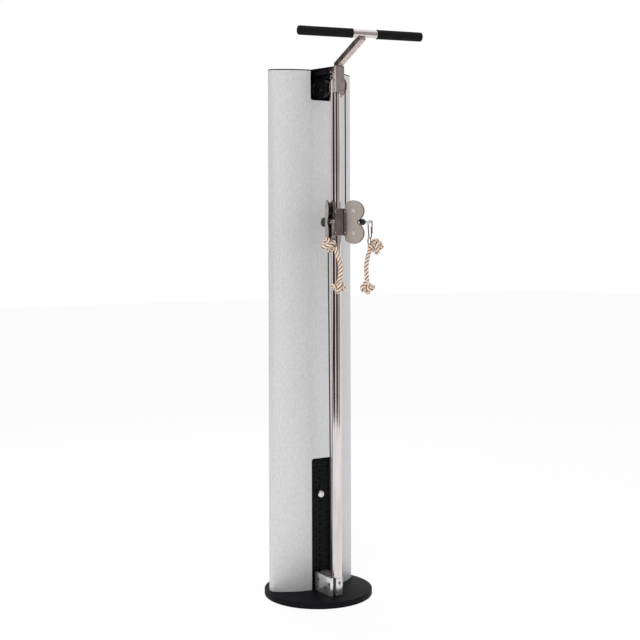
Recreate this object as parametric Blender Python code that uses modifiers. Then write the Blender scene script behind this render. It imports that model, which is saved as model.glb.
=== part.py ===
"""Slim column cable machine: a D-shaped cabinet with a weight stack, and a round rail in front of it
that carries a clamped carriage with two swivelling pulley units, each with a rope handle.
Metres, +Z up, front towards -Y. The origin is the centre of the base disc's underside."""
import math

import bmesh
import bpy
from mathutils import Matrix, Vector

GAP = 0.0003                   # what a touching mesh keeps to its neighbour

DISC_RADIUS = 0.210
DISC_HEIGHT = 0.0234

CABINET_FRONT_Y = -0.0307      # foremost point of the bowed front
CABINET_BOW = 0.2749           # radius of the bowed front
CABINET_ARC_HALF = 0.177       # half width where the bow meets the round corner
CABINET_CORNER = 0.0253
CABINET_TOP = 2.036
SHEET = 0.003
BACK_OPENING_HALF = 0.150      # the shells' back flanges end here
WINDOW_HALF = 0.045
LOW_WINDOW_TOP = 0.532
HIGH_WINDOW_BOTTOM = 1.9225
LID_HEIGHT = 0.004

RAIL_Y = -0.133
RAIL_RADIUS = 0.019
RAIL_TOP = 1.988

HEAD_HALF = 0.019              # half width of the head's blocks
HEAD_DEPTH = 0.025
HEAD_FRONT_WALL = 0.0145       # steel in front of the rail
HEAD_CLAMP_HEIGHT = 0.048
HEAD_TOP = CABINET_TOP + GAP + LID_HEIGHT
CAP_TAIL = 0.0325              # how far the cap's tail reaches back past the block
BRIDGE_HEIGHT = 0.0185
BRIDGE_HALF = 0.025

CABLE_RADIUS = 0.0025
WHEEL_RUN = 0.041              # radius of the cable's centreline on a guide wheel
WHEEL_FLANGE = 0.0445
WHEEL_HALF = 0.008
WHEEL_BORE = 0.005
WHEEL_Z = 1.971
SWIVEL_X = 0.040               # the cables run down the swivel axes of the two units
SWIVEL_Y = -0.140
STACK_Y = 0.030                # the stack's stem and its cable

PLATE_PITCH = 0.030
PLATE_SEAM = 0.001
PLATE_COUNT = 15
LIFTED_COUNT = 4
STACK_BOTTOM = 0.0455
TOP_PLATE_HEIGHT = 0.034
PLATE_FRONT_Y = -0.013
PLATE_SHOULDER_Y = 0.012
PLATE_BACK_Y = 0.062
PLATE_FRONT_HALF = 0.060
PLATE_HALF = 0.130
GUIDE_X = 0.095
GUIDE_RADIUS = 0.010
STEM_RADIUS = 0.0095
STEM_TOP = 0.560
BORE_PLAY = 0.0006
PIN_RADIUS = 0.004
PIN_KNOB_RADIUS = 0.0135
PIN_KNOB_LENGTH = 0.012
GUIDE_TOP = 1.900
GUIDE_BAR_HEIGHT = 0.012

FOOT_TOP = 0.0942
FOOT_PLATE_X = (-0.032, -0.0194)
FOOT_BLOCK_X = (-0.0065, 0.0231)
FOOT_Y = (-0.138, -0.0285)
FOOT_RUN_X = -0.013
FOOT_RUN_Y = -0.1152           # where the lower cable meets the foot wheel
FOOT_WHEEL_RUN = 0.028
FOOT_WHEEL_FLANGE = 0.0315
FOOT_WHEEL_HALF = 0.0055
FOOT_WHEEL_Z = 0.0585

CARRIAGE_Z = 1.448             # middle of the carriage at rest
SLEEVE_HALF = 0.027
SLEEVE_HEIGHT = 0.104
SLEEVE_FRONT = 0.027           # rail axis to the sleeve's front
SLEEVE_PLAY = 0.0005
LOBE_RISE = 0.0425             # pulley centres above and below the middle
LOBE_RADIUS = 0.0405
PULLEY_RUN = 0.0315            # cable centreline on a unit's pulley
PULLEY_FLANGE = 0.0345
PULLEY_HALF = 0.0078
CHEEK_INNER = 0.009
CHEEK_THICKNESS = 0.003
NOTCH_DEPTH = 0.015            # notch's vertex, outward of the pulley centres
BARREL_RADIUS = 0.0065
BARREL_HALF = 0.012
EAR_RADIUS = 0.0075
EAR_HEIGHT = 0.004
AXLE_RADIUS = 0.005
RIGHT_TURN = -44.0             # degrees that each unit points to, from +X
LEFT_TURN = -112.0
BALL_RADIUS = 0.0125
BALL_REACH = 0.066             # swivel axis to ball
HOOK_REACH = 0.095             # swivel axis to clevis pin

KNOB_Y = -0.112
KNOB_RADIUS = 0.018
KNOB_X = (-0.044, -0.034)

WIRE_RADIUS = 0.0025
HOOK_HALF = 0.008              # half width of the snap hook's loop, wire to wire
HOOK_LENGTH = 0.066
HOOK_RISE = 0.0055             # the loop's wire above the clevis pin's axis
RING_RADIUS = 0.0128           # wire centreline of the ring that the rope is tied to
RING_TURN = 62.0               # degrees that the ring's plane stands from VIEW_RIGHT
ROPE_RADIUS = 0.009
VIEW_RIGHT = Vector((0.8454, -0.5342, 0.0))   # the handles hang spread in this direction

BAR_Y = -0.3045
BAR_Z = 2.1413
BAR_LENGTH = 0.490
BAR_TURN = -13.4
BAR_RADIUS = 0.0150
GRIP_RADIUS = 0.0172
LEFT_GRIP = 0.212
RIGHT_GRIP = 0.182
GRIP_WALL_END = 0.0025
ARM_HALF = 0.0125

PARTS = "cable_machine"
CUTTERS = "cutters"


def fresh_scene():
    for old in list(bpy.data.objects):
        bpy.data.objects.remove(old)
    for name in (PARTS, CUTTERS):
        collection = bpy.data.collections.new(name)
        bpy.context.scene.collection.children.link(collection)


def material(name, color, metallic, roughness):
    made = bpy.data.materials.new(name)
    made.use_nodes = True
    shader = made.node_tree.nodes["Principled BSDF"]
    shader.inputs["Base Color"].default_value = (*color, 1.0)
    shader.inputs["Metallic"].default_value = metallic
    shader.inputs["Roughness"].default_value = roughness
    return made


def finishes():
    return {
        "brushed": material("brushed_aluminium", (0.72, 0.72, 0.74), 1.0, 0.35),
        "polished": material("polished_steel", (0.55, 0.50, 0.48), 1.0, 0.12),
        "satin": material("satin_steel", (0.62, 0.57, 0.52), 1.0, 0.32),
        "black": material("black_powder_coat", (0.02, 0.02, 0.023), 0.0, 0.5),
        "iron": material("blackened_iron", (0.015, 0.015, 0.017), 0.3, 0.45),
        "plastic": material("black_nylon", (0.01, 0.01, 0.01), 0.0, 0.25),
        "foam": material("grip_foam", (0.012, 0.012, 0.012), 0.0, 0.8),
        "rope": material("hemp_rope", (0.58, 0.47, 0.33), 0.0, 0.9),
        "cable": material("coated_cable", (0.03, 0.03, 0.03), 0.0, 0.4),
    }


def place(obj, collection, finish=None):
    bpy.data.collections[collection].objects.link(obj)
    if finish is not None:
        obj.data.materials.clear()
        obj.data.materials.append(finish)
    return obj


def from_bmesh(name, bm, finish, origin=(0, 0, 0), smooth=None):
    """An object whose mesh was made in world places, with its origin moved to a joint's axis."""
    bmesh.ops.translate(bm, verts=bm.verts, vec=-Vector(origin))
    mesh = bpy.data.meshes.new(name)
    bm.to_mesh(mesh)
    bm.free()
    obj = place(bpy.data.objects.new(name, mesh), PARTS, finish)
    obj.location = origin
    if smooth is not None:
        mesh.shade_smooth()
        mesh.set_sharp_from_angle(angle=math.radians(smooth))
    return obj


def add_bevel(obj, width, segments=2):
    bevel = obj.modifiers.new("edge", "BEVEL")
    bevel.width = width
    bevel.segments = segments
    bevel.limit_method = "ANGLE"
    bevel.angle_limit = math.radians(40)
    return obj


def box_mesh(low, high, turn=None):
    bm = bmesh.new()
    bmesh.ops.create_cube(bm, size=1.0)
    low, high = Vector(low), Vector(high)
    bmesh.ops.scale(bm, verts=bm.verts, vec=high - low)
    bmesh.ops.translate(bm, verts=bm.verts, vec=(low + high) / 2)
    if turn is not None:
        bmesh.ops.transform(bm, matrix=turn, verts=bm.verts)
    return bm


def rod_mesh(start, end, radius, segments=24, end_radius=None):
    start, end = Vector(start), Vector(end)
    axis = end - start
    bm = bmesh.new()
    bmesh.ops.create_cone(bm, cap_ends=True, segments=segments, radius1=radius,
                          radius2=radius if end_radius is None else end_radius, depth=axis.length)
    turn = axis.to_track_quat("Z", "Y").to_matrix().to_4x4()
    bmesh.ops.transform(bm, matrix=Matrix.Translation((start + end) / 2) @ turn, verts=bm.verts)
    return bm


def block(name, low, high, finish, bevel=0.0, origin=(0, 0, 0), turn=None):
    obj = from_bmesh(name, box_mesh(low, high, turn), finish, origin)
    return add_bevel(obj, bevel) if bevel else obj


def rod(name, start, end, radius, finish, origin=(0, 0, 0), segments=24, bevel=0.0):
    obj = from_bmesh(name, rod_mesh(start, end, radius, segments), finish, origin, smooth=40)
    return add_bevel(obj, bevel) if bevel else obj


def solid_from_curve(name, curve, finish, matrix=Matrix(), origin=(0, 0, 0), smooth=None):
    """The curve's filled solid as a mesh, its caps welded, its place in the world kept."""
    guide = bpy.data.objects.new(name + "_guide", curve)
    bpy.context.scene.collection.objects.link(guide)
    guide.matrix_world = matrix
    bpy.context.view_layer.update()
    evaluated = guide.evaluated_get(bpy.context.evaluated_depsgraph_get())
    mesh = bpy.data.meshes.new_from_object(evaluated)
    bm = bmesh.new()
    bm.from_mesh(mesh)
    bmesh.ops.remove_doubles(bm, verts=bm.verts, dist=1e-6)
    bmesh.ops.transform(bm, matrix=guide.matrix_world, verts=bm.verts)
    bmesh.ops.recalc_face_normals(bm, faces=bm.faces)
    bpy.data.objects.remove(guide)
    return from_bmesh(name, bm, finish, origin, smooth)


def plate(name, outlines, low, high, finish, matrix=Matrix(), origin=(0, 0, 0), smooth=None):
    """A flat piece: the first outline is its edge and the others are holes; it fills low to high."""
    curve = bpy.data.curves.new(name, "CURVE")
    curve.dimensions = "2D"
    curve.fill_mode = "BOTH"
    curve.extrude = (high - low) / 2
    for outline in outlines:
        spline = curve.splines.new("POLY")
        spline.points.add(len(outline) - 1)
        for point, (x, y) in zip(spline.points, outline):
            point.co = (x, y, 0, 1)
        spline.use_cyclic_u = True
    lift = Matrix.Translation((0, 0, (low + high) / 2))
    return solid_from_curve(name, curve, finish, matrix @ lift, origin, smooth)


def tube(name, points, radius, finish, origin=(0, 0, 0), resolution=2, closed=False):
    curve = bpy.data.curves.new(name, "CURVE")
    curve.dimensions = "3D"
    curve.bevel_depth = radius
    curve.bevel_resolution = resolution
    curve.use_fill_caps = True
    spline = curve.splines.new("POLY")
    spline.points.add(len(points) - 1)
    for point, place_at in zip(spline.points, points):
        point.co = (*place_at, 1)
    spline.use_cyclic_u = closed
    return solid_from_curve(name, curve, finish, origin=origin, smooth=50)


def turned(name, profile, finish, matrix, steps=32, origin=(0, 0, 0)):
    """A ring turned about local Z; its profile runs down the outside and back up the bore."""
    bm = bmesh.new()
    verts = [bm.verts.new((x, 0, z)) for x, z in profile]
    for first, second in zip(verts, verts[1:] + verts[:1]):
        bm.edges.new((first, second))
    mesh = bpy.data.meshes.new(name)
    bm.to_mesh(mesh)
    bm.free()
    obj = place(bpy.data.objects.new(name, mesh), PARTS, finish)
    screw = obj.modifiers.new("turning", "SCREW")
    screw.steps = steps
    screw.render_steps = steps
    screw.use_merge_vertices = True
    screw.merge_threshold = 0.0001
    obj.matrix_world = matrix
    return obj


def combine(obj, others, operation):
    """Boolean with pieces that are used up: what is cut away, or joined on."""
    for number, other in enumerate(others):
        for collection in list(other.users_collection):
            collection.objects.unlink(other)
        place(other, CUTTERS)
        other.hide_render = True
        other.display_type = "WIRE"
        boolean = obj.modifiers.new(f"{operation.lower()}_{number}", "BOOLEAN")
        boolean.operation = operation
        boolean.object = other
        boolean.solver = "EXACT"
    return obj


def arc(center, radius, start, end, count):
    """Points of an arc in a plane, from one angle in degrees to another, ends included."""
    step = (end - start) / (count - 1)
    angles = [math.radians(start + step * i) for i in range(count)]
    return [(center[0] + radius * math.cos(a), center[1] + radius * math.sin(a)) for a in angles]


def circle(center, radius, count=24):
    return arc(center, radius, 0, 360 * (count - 1) / count, count)


def bow_y(x):
    """The cabinet's front at a given x."""
    return CABINET_FRONT_Y + CABINET_BOW - math.sqrt(CABINET_BOW ** 2 - x ** 2)


def corner_center():
    lean = math.asin(CABINET_ARC_HALF / CABINET_BOW)
    x = CABINET_ARC_HALF - CABINET_CORNER * math.sin(lean)
    y = bow_y(CABINET_ARC_HALF) + CABINET_CORNER * math.cos(lean)
    return x, y, math.degrees(lean)


def back_y():
    return corner_center()[1] + CABINET_CORNER


def bow_points(start_x, end_x, count):
    step = (end_x - start_x) / (count - 1)
    return [(start_x + step * i, bow_y(start_x + step * i)) for i in range(count)]


def corner_points(count=8):
    x, y, lean = corner_center()
    return arc((x, y), CABINET_CORNER, lean - 90, 90, count)[1:]


def bent_sheet(name, outline, low, high, finish, inward):
    """A sheet bent along an outline, standing from low to high, its wall going inward."""
    bm = bmesh.new()
    lower = [bm.verts.new((x, y, low)) for x, y in outline]
    edges = [bm.edges.new(pair) for pair in zip(lower, lower[1:])]
    raised = bmesh.ops.extrude_edge_only(bm, edges=edges)["geom"]
    top = [item for item in raised if isinstance(item, bmesh.types.BMVert)]
    bmesh.ops.translate(bm, verts=top, vec=(0, 0, high - low))
    obj = from_bmesh(name, bm, finish, smooth=35)
    wall = obj.modifiers.new("wall", "SOLIDIFY")
    wall.thickness = SHEET
    wall.offset = inward
    return obj


def mirrored(points):
    return [(-x, y) for x, y in points]


def base(finish):
    body = rod("base_disc", (0, 0, 0), (0, 0, DISC_HEIGHT), DISC_RADIUS, finish["black"], segments=80)
    add_bevel(body, 0.002, 1)


def cabinet(finish):
    low = DISC_HEIGHT + GAP
    right = bow_points(WINDOW_HALF, CABINET_ARC_HALF, 14) + corner_points() + [(BACK_OPENING_HALF, back_y())]
    bent_sheet("cabinet_right_shell", right, low, CABINET_TOP, finish["brushed"], -1)
    bent_sheet("cabinet_left_shell", mirrored(right), low, CABINET_TOP, finish["brushed"], 1)
    strip = bow_points(GAP - WINDOW_HALF, WINDOW_HALF - GAP, 7)
    bent_sheet("cabinet_front_strip", strip, LOW_WINDOW_TOP, HIGH_WINDOW_BOTTOM, finish["brushed"], -1)
    half = BACK_OPENING_HALF - GAP
    block("cabinet_back_panel", (-half, back_y() - SHEET, low), (half, back_y(), CABINET_TOP), finish["black"])
    side = bow_points(WINDOW_HALF, CABINET_ARC_HALF, 12) + corner_points()
    tongue_y = RAIL_Y - RAIL_RADIUS - HEAD_FRONT_WALL + HEAD_DEPTH + GAP
    edge = [(HEAD_HALF, tongue_y)] + side
    outline = edge + mirrored(edge)[::-1]
    plate("cabinet_lid", [outline], CABINET_TOP + GAP, HEAD_TOP, finish["black"])


def wheel_plane():
    """Unit vector, level, from the inner wheel to the swivel axis: the guide wheels lie along it."""
    return Vector((SWIVEL_X, SWIVEL_Y - STACK_Y, 0)).normalized()


def wheel_centers():
    forward = wheel_plane()
    head = Vector((SWIVEL_X, SWIVEL_Y, WHEEL_Z)) - forward * WHEEL_RUN
    inner = Vector((0, STACK_Y, WHEEL_Z)) + forward * WHEEL_RUN
    return head, inner


def pulley_profile(run, flange, half, bore, dished=True):
    """Grooved wheel, its web dished on both sides; the groove clears the cable by the touching gap."""
    floor = run - CABLE_RADIUS - GAP
    groove = min(CABLE_RADIUS + 0.0006, half * 0.6)
    hub, rim, recess = bore + 0.005, floor - 0.005, half * 0.3
    web = [(hub, half), (hub + recess, half - recess), (rim - recess, half - recess), (rim, half)]
    rim_edge = [(flange, half), (flange, groove + 0.0008), (floor, groove)]
    side = [(bore, half)] + (web if dished else []) + rim_edge
    return side + [(x, -z) for x, z in reversed(side)]


def facing(center, axis):
    turn = Vector(axis).to_track_quat("Z", "X").to_matrix().to_4x4()
    return Matrix.Translation(center) @ turn


def head(finish):
    front = RAIL_Y - RAIL_RADIUS - HEAD_FRONT_WALL
    back = front + HEAD_DEPTH
    clamp_low = RAIL_TOP - HEAD_CLAMP_HEIGHT
    rod("rail", (0, RAIL_Y, FOOT_TOP + GAP), (0, RAIL_Y, RAIL_TOP), RAIL_RADIUS, finish["polished"],
        segments=40)
    clamp = block("head_clamp", (-HEAD_HALF, front, clamp_low), (HEAD_HALF, back, RAIL_TOP),
                  finish["polished"])
    bore = rod("clamp_bore", (0, RAIL_Y, clamp_low - 0.01), (0, RAIL_Y, RAIL_TOP + 0.01),
               RAIL_RADIUS + GAP, None, segments=40)
    combine(clamp, [bore], "DIFFERENCE")
    cap = block("head_cap", (-HEAD_HALF, front, RAIL_TOP + GAP), (HEAD_HALF, back, HEAD_TOP),
                finish["polished"])
    bridge_top = CABINET_TOP
    bridge_low = bridge_top - BRIDGE_HEIGHT
    tail = block("cap_tail", (-HEAD_HALF, back - 0.004, bridge_low), (HEAD_HALF, back + CAP_TAIL, bridge_top),
                 None)
    combine(cap, [tail], "UNION")
    block("bridge_beam", (-BRIDGE_HALF, back + CAP_TAIL + GAP, bridge_low),
          (BRIDGE_HALF, back_y() - SHEET - GAP, bridge_top), finish["black"])


def guide_wheels(finish):
    """The two wheels that lead the cable from the swivel axis over the top and down to the stack."""
    forward = wheel_plane()
    across = Vector((0, 0, 1)).cross(forward)
    bridge_low = CABINET_TOP - BRIDGE_HEIGHT
    turn = Matrix.Rotation(math.atan2(forward.y, forward.x), 4, "Z")
    for name, center in zip(("head", "inner"), wheel_centers()):
        profile = pulley_profile(WHEEL_RUN, WHEEL_FLANGE, WHEEL_HALF, WHEEL_BORE + GAP)
        turned(name + "_wheel", profile, finish["polished" if name == "head" else "plastic"],
               facing(center, across), 36)
        side = -1 if name == "head" else 1
        near, far = WHEEL_HALF + 0.0015, WHEEL_HALF + 0.0055
        low = (-0.010, min(side * near, side * far), -0.014)
        high = (0.010, max(side * near, side * far), bridge_low - GAP - WHEEL_Z)
        hanger = block(name + "_hanger", low, high, finish["polished"], turn=Matrix.Translation(center) @ turn)
        ahead = across * side
        axle = rod(name + "_axle", center - ahead * (WHEEL_HALF + 0.002), center + ahead * (far + 0.002),
                   WHEEL_BORE, None)
        combine(hanger, [axle], "UNION")


def top_bar(finish):
    """The T bar on its sloping arm; the bar turns on the arm's end."""
    front = RAIL_Y - RAIL_RADIUS - HEAD_FRONT_WALL
    foot_z = HEAD_TOP + GAP
    seat_z = BAR_Z - BAR_RADIUS - GAP
    side = [(front + 0.001, foot_z), (front + 0.024, foot_z), (front + 0.024, foot_z + 0.013),
            (BAR_Y + 0.014, seat_z), (BAR_Y - 0.014, seat_z), (BAR_Y - 0.014, seat_z - 0.010)]
    upright = Matrix.Rotation(math.radians(90), 4, "Z") @ Matrix.Rotation(math.radians(90), 4, "X")
    plate("bar_arm", [side], -ARM_HALF, ARM_HALF, finish["polished"], upright)
    along = Vector((math.cos(math.radians(BAR_TURN)), math.sin(math.radians(BAR_TURN)), 0))
    middle = Vector((0, BAR_Y, BAR_Z))
    left, right = middle - along * BAR_LENGTH / 2, middle + along * BAR_LENGTH / 2
    inset = GRIP_WALL_END + GAP
    rod("bar_tube", left + along * inset, right - along * inset, BAR_RADIUS, finish["polished"], middle, 32)
    profile_radius = BAR_RADIUS + GAP
    for name, end, length, sign in (("left_grip", left, LEFT_GRIP, 1), ("right_grip", right, RIGHT_GRIP, -1)):
        inner_end = length
        profile = [(0, 0), (GRIP_RADIUS - 0.003, 0), (GRIP_RADIUS, 0.003), (GRIP_RADIUS, inner_end),
                   (profile_radius, inner_end), (profile_radius, GRIP_WALL_END), (0, GRIP_WALL_END)]
        grip_sleeve(name, [(x, -z) for x, z in profile], finish["foam"], end, along * sign)


def grip_sleeve(name, profile, finish, end, inward):
    """A blind sleeve, open at its inner end, turned about the bar's axis."""
    bm = bmesh.new()
    verts = [bm.verts.new((x, 0, z)) for x, z in profile]
    for first, second in zip(verts, verts[1:]):
        bm.edges.new((first, second))
    mesh = bpy.data.meshes.new(name)
    bm.to_mesh(mesh)
    bm.free()
    obj = place(bpy.data.objects.new(name, mesh), PARTS, finish)
    screw = obj.modifiers.new("turning", "SCREW")
    screw.steps = 28
    screw.render_steps = 28
    screw.use_merge_vertices = True
    screw.merge_threshold = 0.0001
    obj.matrix_world = facing(end, -inward)


def foot(finish):
    """Two uprights under the rail; the lower cable's wheel turns in the slot between them."""
    low = DISC_HEIGHT + GAP
    block("foot_plate", (FOOT_PLATE_X[0], FOOT_Y[0], low), (FOOT_PLATE_X[1], FOOT_Y[1], FOOT_TOP),
          finish["polished"], 0.001)
    body = block("foot_block", (FOOT_BLOCK_X[0], FOOT_Y[0], low), (FOOT_BLOCK_X[1], FOOT_Y[1], FOOT_TOP),
                 finish["polished"])
    center = Vector((FOOT_RUN_X, FOOT_RUN_Y + FOOT_WHEEL_RUN, FOOT_WHEEL_Z))
    axle = rod("foot_axle", (FOOT_PLATE_X[1] + GAP, center.y, center.z),
               (FOOT_BLOCK_X[0] + 0.004, center.y, center.z), WHEEL_BORE, None)
    combine(body, [axle], "UNION")
    hole_at = Vector((0.0085, FOOT_Y[0], 0.070))
    hole = rod("stop_hole", hole_at - Vector((0, 0.01, 0)), hole_at + Vector((0, 0.015, 0)), 0.005, None)
    combine(body, [hole], "DIFFERENCE")
    profile = pulley_profile(FOOT_WHEEL_RUN, FOOT_WHEEL_FLANGE, FOOT_WHEEL_HALF, WHEEL_BORE + GAP)
    turned("foot_wheel", profile, finish["plastic"], facing(center, (1, 0, 0)), 28)


def plate_outline(inset=0.0):
    front, half = PLATE_FRONT_HALF - inset, PLATE_HALF - inset
    right = [(front, PLATE_FRONT_Y + inset), (half, PLATE_SHOULDER_Y + inset), (half, PLATE_BACK_Y - inset)]
    return right + mirrored(right)[::-1]


def plate_holes(play=BORE_PLAY):
    guides = [circle((x, STACK_Y), GUIDE_RADIUS + play, 16) for x in (-GUIDE_X, GUIDE_X)]
    return guides + [circle((0, STACK_Y), STEM_RADIUS + play, 16)]


def plate_z(index):
    return STACK_BOTTOM + index * PLATE_PITCH


def pin_z():
    return plate_z(PLATE_COUNT - LIFTED_COUNT) + (PLATE_PITCH - PLATE_SEAM) / 2


def pin_bore(name, z, depth_to):
    return rod(name, (0, PLATE_FRONT_Y - 0.01, z), (0, depth_to, z), PIN_RADIUS + GAP, None, segments=10)


def weight_stack(finish):
    height = PLATE_PITCH - PLATE_SEAM
    resting = PLATE_COUNT - LIFTED_COUNT
    core_top = plate_z(resting) - PLATE_SEAM - 0.002
    stack = plate("resting_plates", [plate_outline(0.0015)], DISC_HEIGHT + GAP, core_top, finish["iron"])
    slabs = [plate(f"slab_{i}", [plate_outline()], plate_z(i), plate_z(i) + height, None)
             for i in range(resting)]
    combine(stack, slabs, "UNION")
    bores = [pin_bore(f"bore_{i}", plate_z(i) + height / 2, STACK_Y) for i in range(resting)]
    for x, radius in ((-GUIDE_X, GUIDE_RADIUS), (GUIDE_X, GUIDE_RADIUS), (0, STEM_RADIUS)):
        bores.append(rod("upright_bore", (x, STACK_Y, 0), (x, STACK_Y, core_top + 0.05), radius + BORE_PLAY,
                         None, segments=16))
    combine(stack, bores, "DIFFERENCE")
    for i in range(resting, PLATE_COUNT):
        weight = plate(f"weight_plate_{i + 1:02d}", [plate_outline()] + plate_holes(), plate_z(i),
                       plate_z(i) + height, finish["iron"])
        combine(weight, [pin_bore(f"lifted_bore_{i}", plate_z(i) + height / 2, STACK_Y)], "DIFFERENCE")
    head_z = plate_z(PLATE_COUNT)
    plate("top_plate", [plate_outline()] + plate_holes(), head_z, head_z + TOP_PLATE_HEIGHT, finish["iron"])
    stem = rod("selector_stem", (0, STACK_Y, STACK_BOTTOM + 0.002), (0, STACK_Y, STEM_TOP), STEM_RADIUS,
               finish["polished"])
    combine(stem, [pin_bore("stem_bore", pin_z(), STACK_Y + STEM_RADIUS + 0.002)], "DIFFERENCE")
    pin(finish)
    for name, x in (("guide_rod_left", -GUIDE_X), ("guide_rod_right", GUIDE_X)):
        rod(name, (x, STACK_Y, DISC_HEIGHT + GAP), (x, STACK_Y, GUIDE_TOP), GUIDE_RADIUS, finish["polished"])
    bar_back = back_y() - SHEET - GAP
    bar = [(-PLATE_HALF, 0.014), (PLATE_HALF, 0.014), (PLATE_HALF, bar_back), (-PLATE_HALF, bar_back)]
    holes = [circle((x, STACK_Y), GUIDE_RADIUS + GAP, 24) for x in (-GUIDE_X, GUIDE_X)]
    holes.append(circle((0, STACK_Y), 0.008, 20))
    bar_low = GUIDE_TOP - GUIDE_BAR_HEIGHT
    plate("guide_bar", [bar] + holes, bar_low, GUIDE_TOP, finish["black"])


def pin(finish):
    face = PLATE_FRONT_Y - GAP
    origin = Vector((0, face, pin_z()))
    knob = rod("selector_pin", origin - Vector((0, PIN_KNOB_LENGTH, 0)), origin, PIN_KNOB_RADIUS,
               finish["satin"], origin, 28)
    shank = rod("pin_shank", origin - Vector((0, 0.002, 0)), origin + Vector((0, STACK_Y + 0.006 - face, 0)),
                PIN_RADIUS, None, segments=16)
    combine(knob, [shank], "UNION")


def carriage(finish):
    low, high = CARRIAGE_Z - SLEEVE_HEIGHT / 2, CARRIAGE_Z + SLEEVE_HEIGHT / 2
    front, back = RAIL_Y - SLEEVE_FRONT, RAIL_Y + SLEEVE_FRONT
    sleeve = block("carriage", (-SLEEVE_HALF, front, low), (SLEEVE_HALF, back, high), finish["polished"])
    bore = rod("carriage_bore", (0, RAIL_Y, low - 0.01), (0, RAIL_Y, high + 0.01), RAIL_RADIUS + SLEEVE_PLAY,
               None, segments=40)
    combine(sleeve, [bore], "DIFFERENCE")
    ears = []
    for side in (-1, 1):
        for level in (CARRIAGE_Z + BARREL_HALF + GAP, CARRIAGE_Z - BARREL_HALF - GAP - EAR_HEIGHT):
            axis_x = side * SWIVEL_X
            inner_x = side * (SLEEVE_HALF - 0.003)
            arm_low = (min(inner_x, axis_x), SWIVEL_Y + 0.0005, level)
            arm_high = (max(inner_x, axis_x), SWIVEL_Y + 0.012, level + EAR_HEIGHT)
            ears.append(block("ear_arm", arm_low, arm_high, None))
            eye = [circle((axis_x, SWIVEL_Y), EAR_RADIUS, 16), circle((axis_x, SWIVEL_Y), 0.0035, 8)]
            ears.append(plate("ear_eye", eye, level - 0.00005, level + EAR_HEIGHT + 0.00005, None))
    for ear in ears:
        combine_one(sleeve, ear)
    knob_low, knob_high = KNOB_X
    axis = Vector((0, KNOB_Y, CARRIAGE_Z))
    knob = rod("clamp_knob", axis + Vector((knob_low, 0, 0)), axis + Vector((knob_high, 0, 0)), KNOB_RADIUS,
               finish["plastic"], axis, 32)
    stem = rod("knob_stem", axis + Vector((knob_high - 0.002, 0, 0)), axis - Vector((SLEEVE_HALF + GAP, 0, 0)),
               0.006, None)
    combine(knob, [stem], "UNION")


def combine_one(obj, other):
    count = len(obj.modifiers)
    combine(obj, [other], "UNION")
    obj.modifiers[-1].name = f"union_{count}"


def cheek_outline():
    """B-shaped plate in the unit's own plane: outward from the swivel axis, and up from the middle."""
    center_out = PULLEY_RUN
    vertex = center_out + NOTCH_DEPTH
    reach = math.hypot(NOTCH_DEPTH, LOBE_RISE)
    to_center = math.degrees(math.atan2(LOBE_RISE, -NOTCH_DEPTH))
    open_angle = math.degrees(math.asin(LOBE_RADIUS / reach))
    tangent = to_center - open_angle - 90
    edge = math.degrees(math.acos(-center_out / LOBE_RADIUS))
    upper = arc((center_out, LOBE_RISE), LOBE_RADIUS, tangent, edge, 15)
    lower = [(x, -y) for x, y in reversed(upper)]
    return [(vertex, 0)] + upper + lower


def unit_frame(side, degrees_turn):
    """From the unit's own axes (outward, up, across) to the world."""
    angle = math.radians(degrees_turn)
    outward = Vector((math.cos(angle), math.sin(angle), 0))
    across = outward.cross(Vector((0, 0, 1)))
    matrix = Matrix((outward, (0, 0, 1), across)).transposed().to_4x4()
    matrix.translation = (side * SWIVEL_X, SWIVEL_Y, CARRIAGE_Z)
    return matrix


def pulley_unit(name, side, degrees_turn, cable_from, finish):
    """Cheeks, two pulleys, swivel barrel and the ball stop; cable_from is 1 for above, -1 for below."""
    frame = unit_frame(side, degrees_turn)
    axis = frame.translation.copy()
    across = frame.to_3x3() @ Vector((0, 0, 1))
    inner, outer = CHEEK_INNER, CHEEK_INNER + CHEEK_THICKNESS
    front = plate(name + "_front_cheek", [cheek_outline()], inner, outer, finish["satin"], frame, axis)
    holes = [circle((PULLEY_RUN, rise), AXLE_RADIUS + GAP, 20) for rise in (-LOBE_RISE, LOBE_RISE)]
    plate(name + "_back_cheek", [cheek_outline()] + holes, -outer, -inner, finish["satin"], frame, axis)
    for level, rise in (("upper", LOBE_RISE), ("lower", -LOBE_RISE)):
        center = frame @ Vector((PULLEY_RUN, rise, 0))
        profile = pulley_profile(PULLEY_RUN, PULLEY_FLANGE, PULLEY_HALF, AXLE_RADIUS + GAP, False)
        turned(f"{name}_{level}_pulley", profile, finish["plastic"], facing(center, across), 28)
        axle = rod(f"{name}_{level}_axle", center - across * (outer + 0.0015),
                   center + across * (outer - 0.001), AXLE_RADIUS, None, segments=20)
        combine_one(front, axle)
    barrel = rod(name + "_swivel", axis - Vector((0, 0, BARREL_HALF)), axis + Vector((0, 0, BARREL_HALF)),
                 BARREL_RADIUS, finish["polished"], axis, 20)
    web = block(name + "_web", (0.002, -BARREL_HALF + 0.001, -CHEEK_INNER + GAP),
                (0.014, BARREL_HALF - 0.001, CHEEK_INNER - GAP), None, turn=frame)
    combine(barrel, [web], "UNION")
    ball_stop(name, frame, cable_from, finish)


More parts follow.
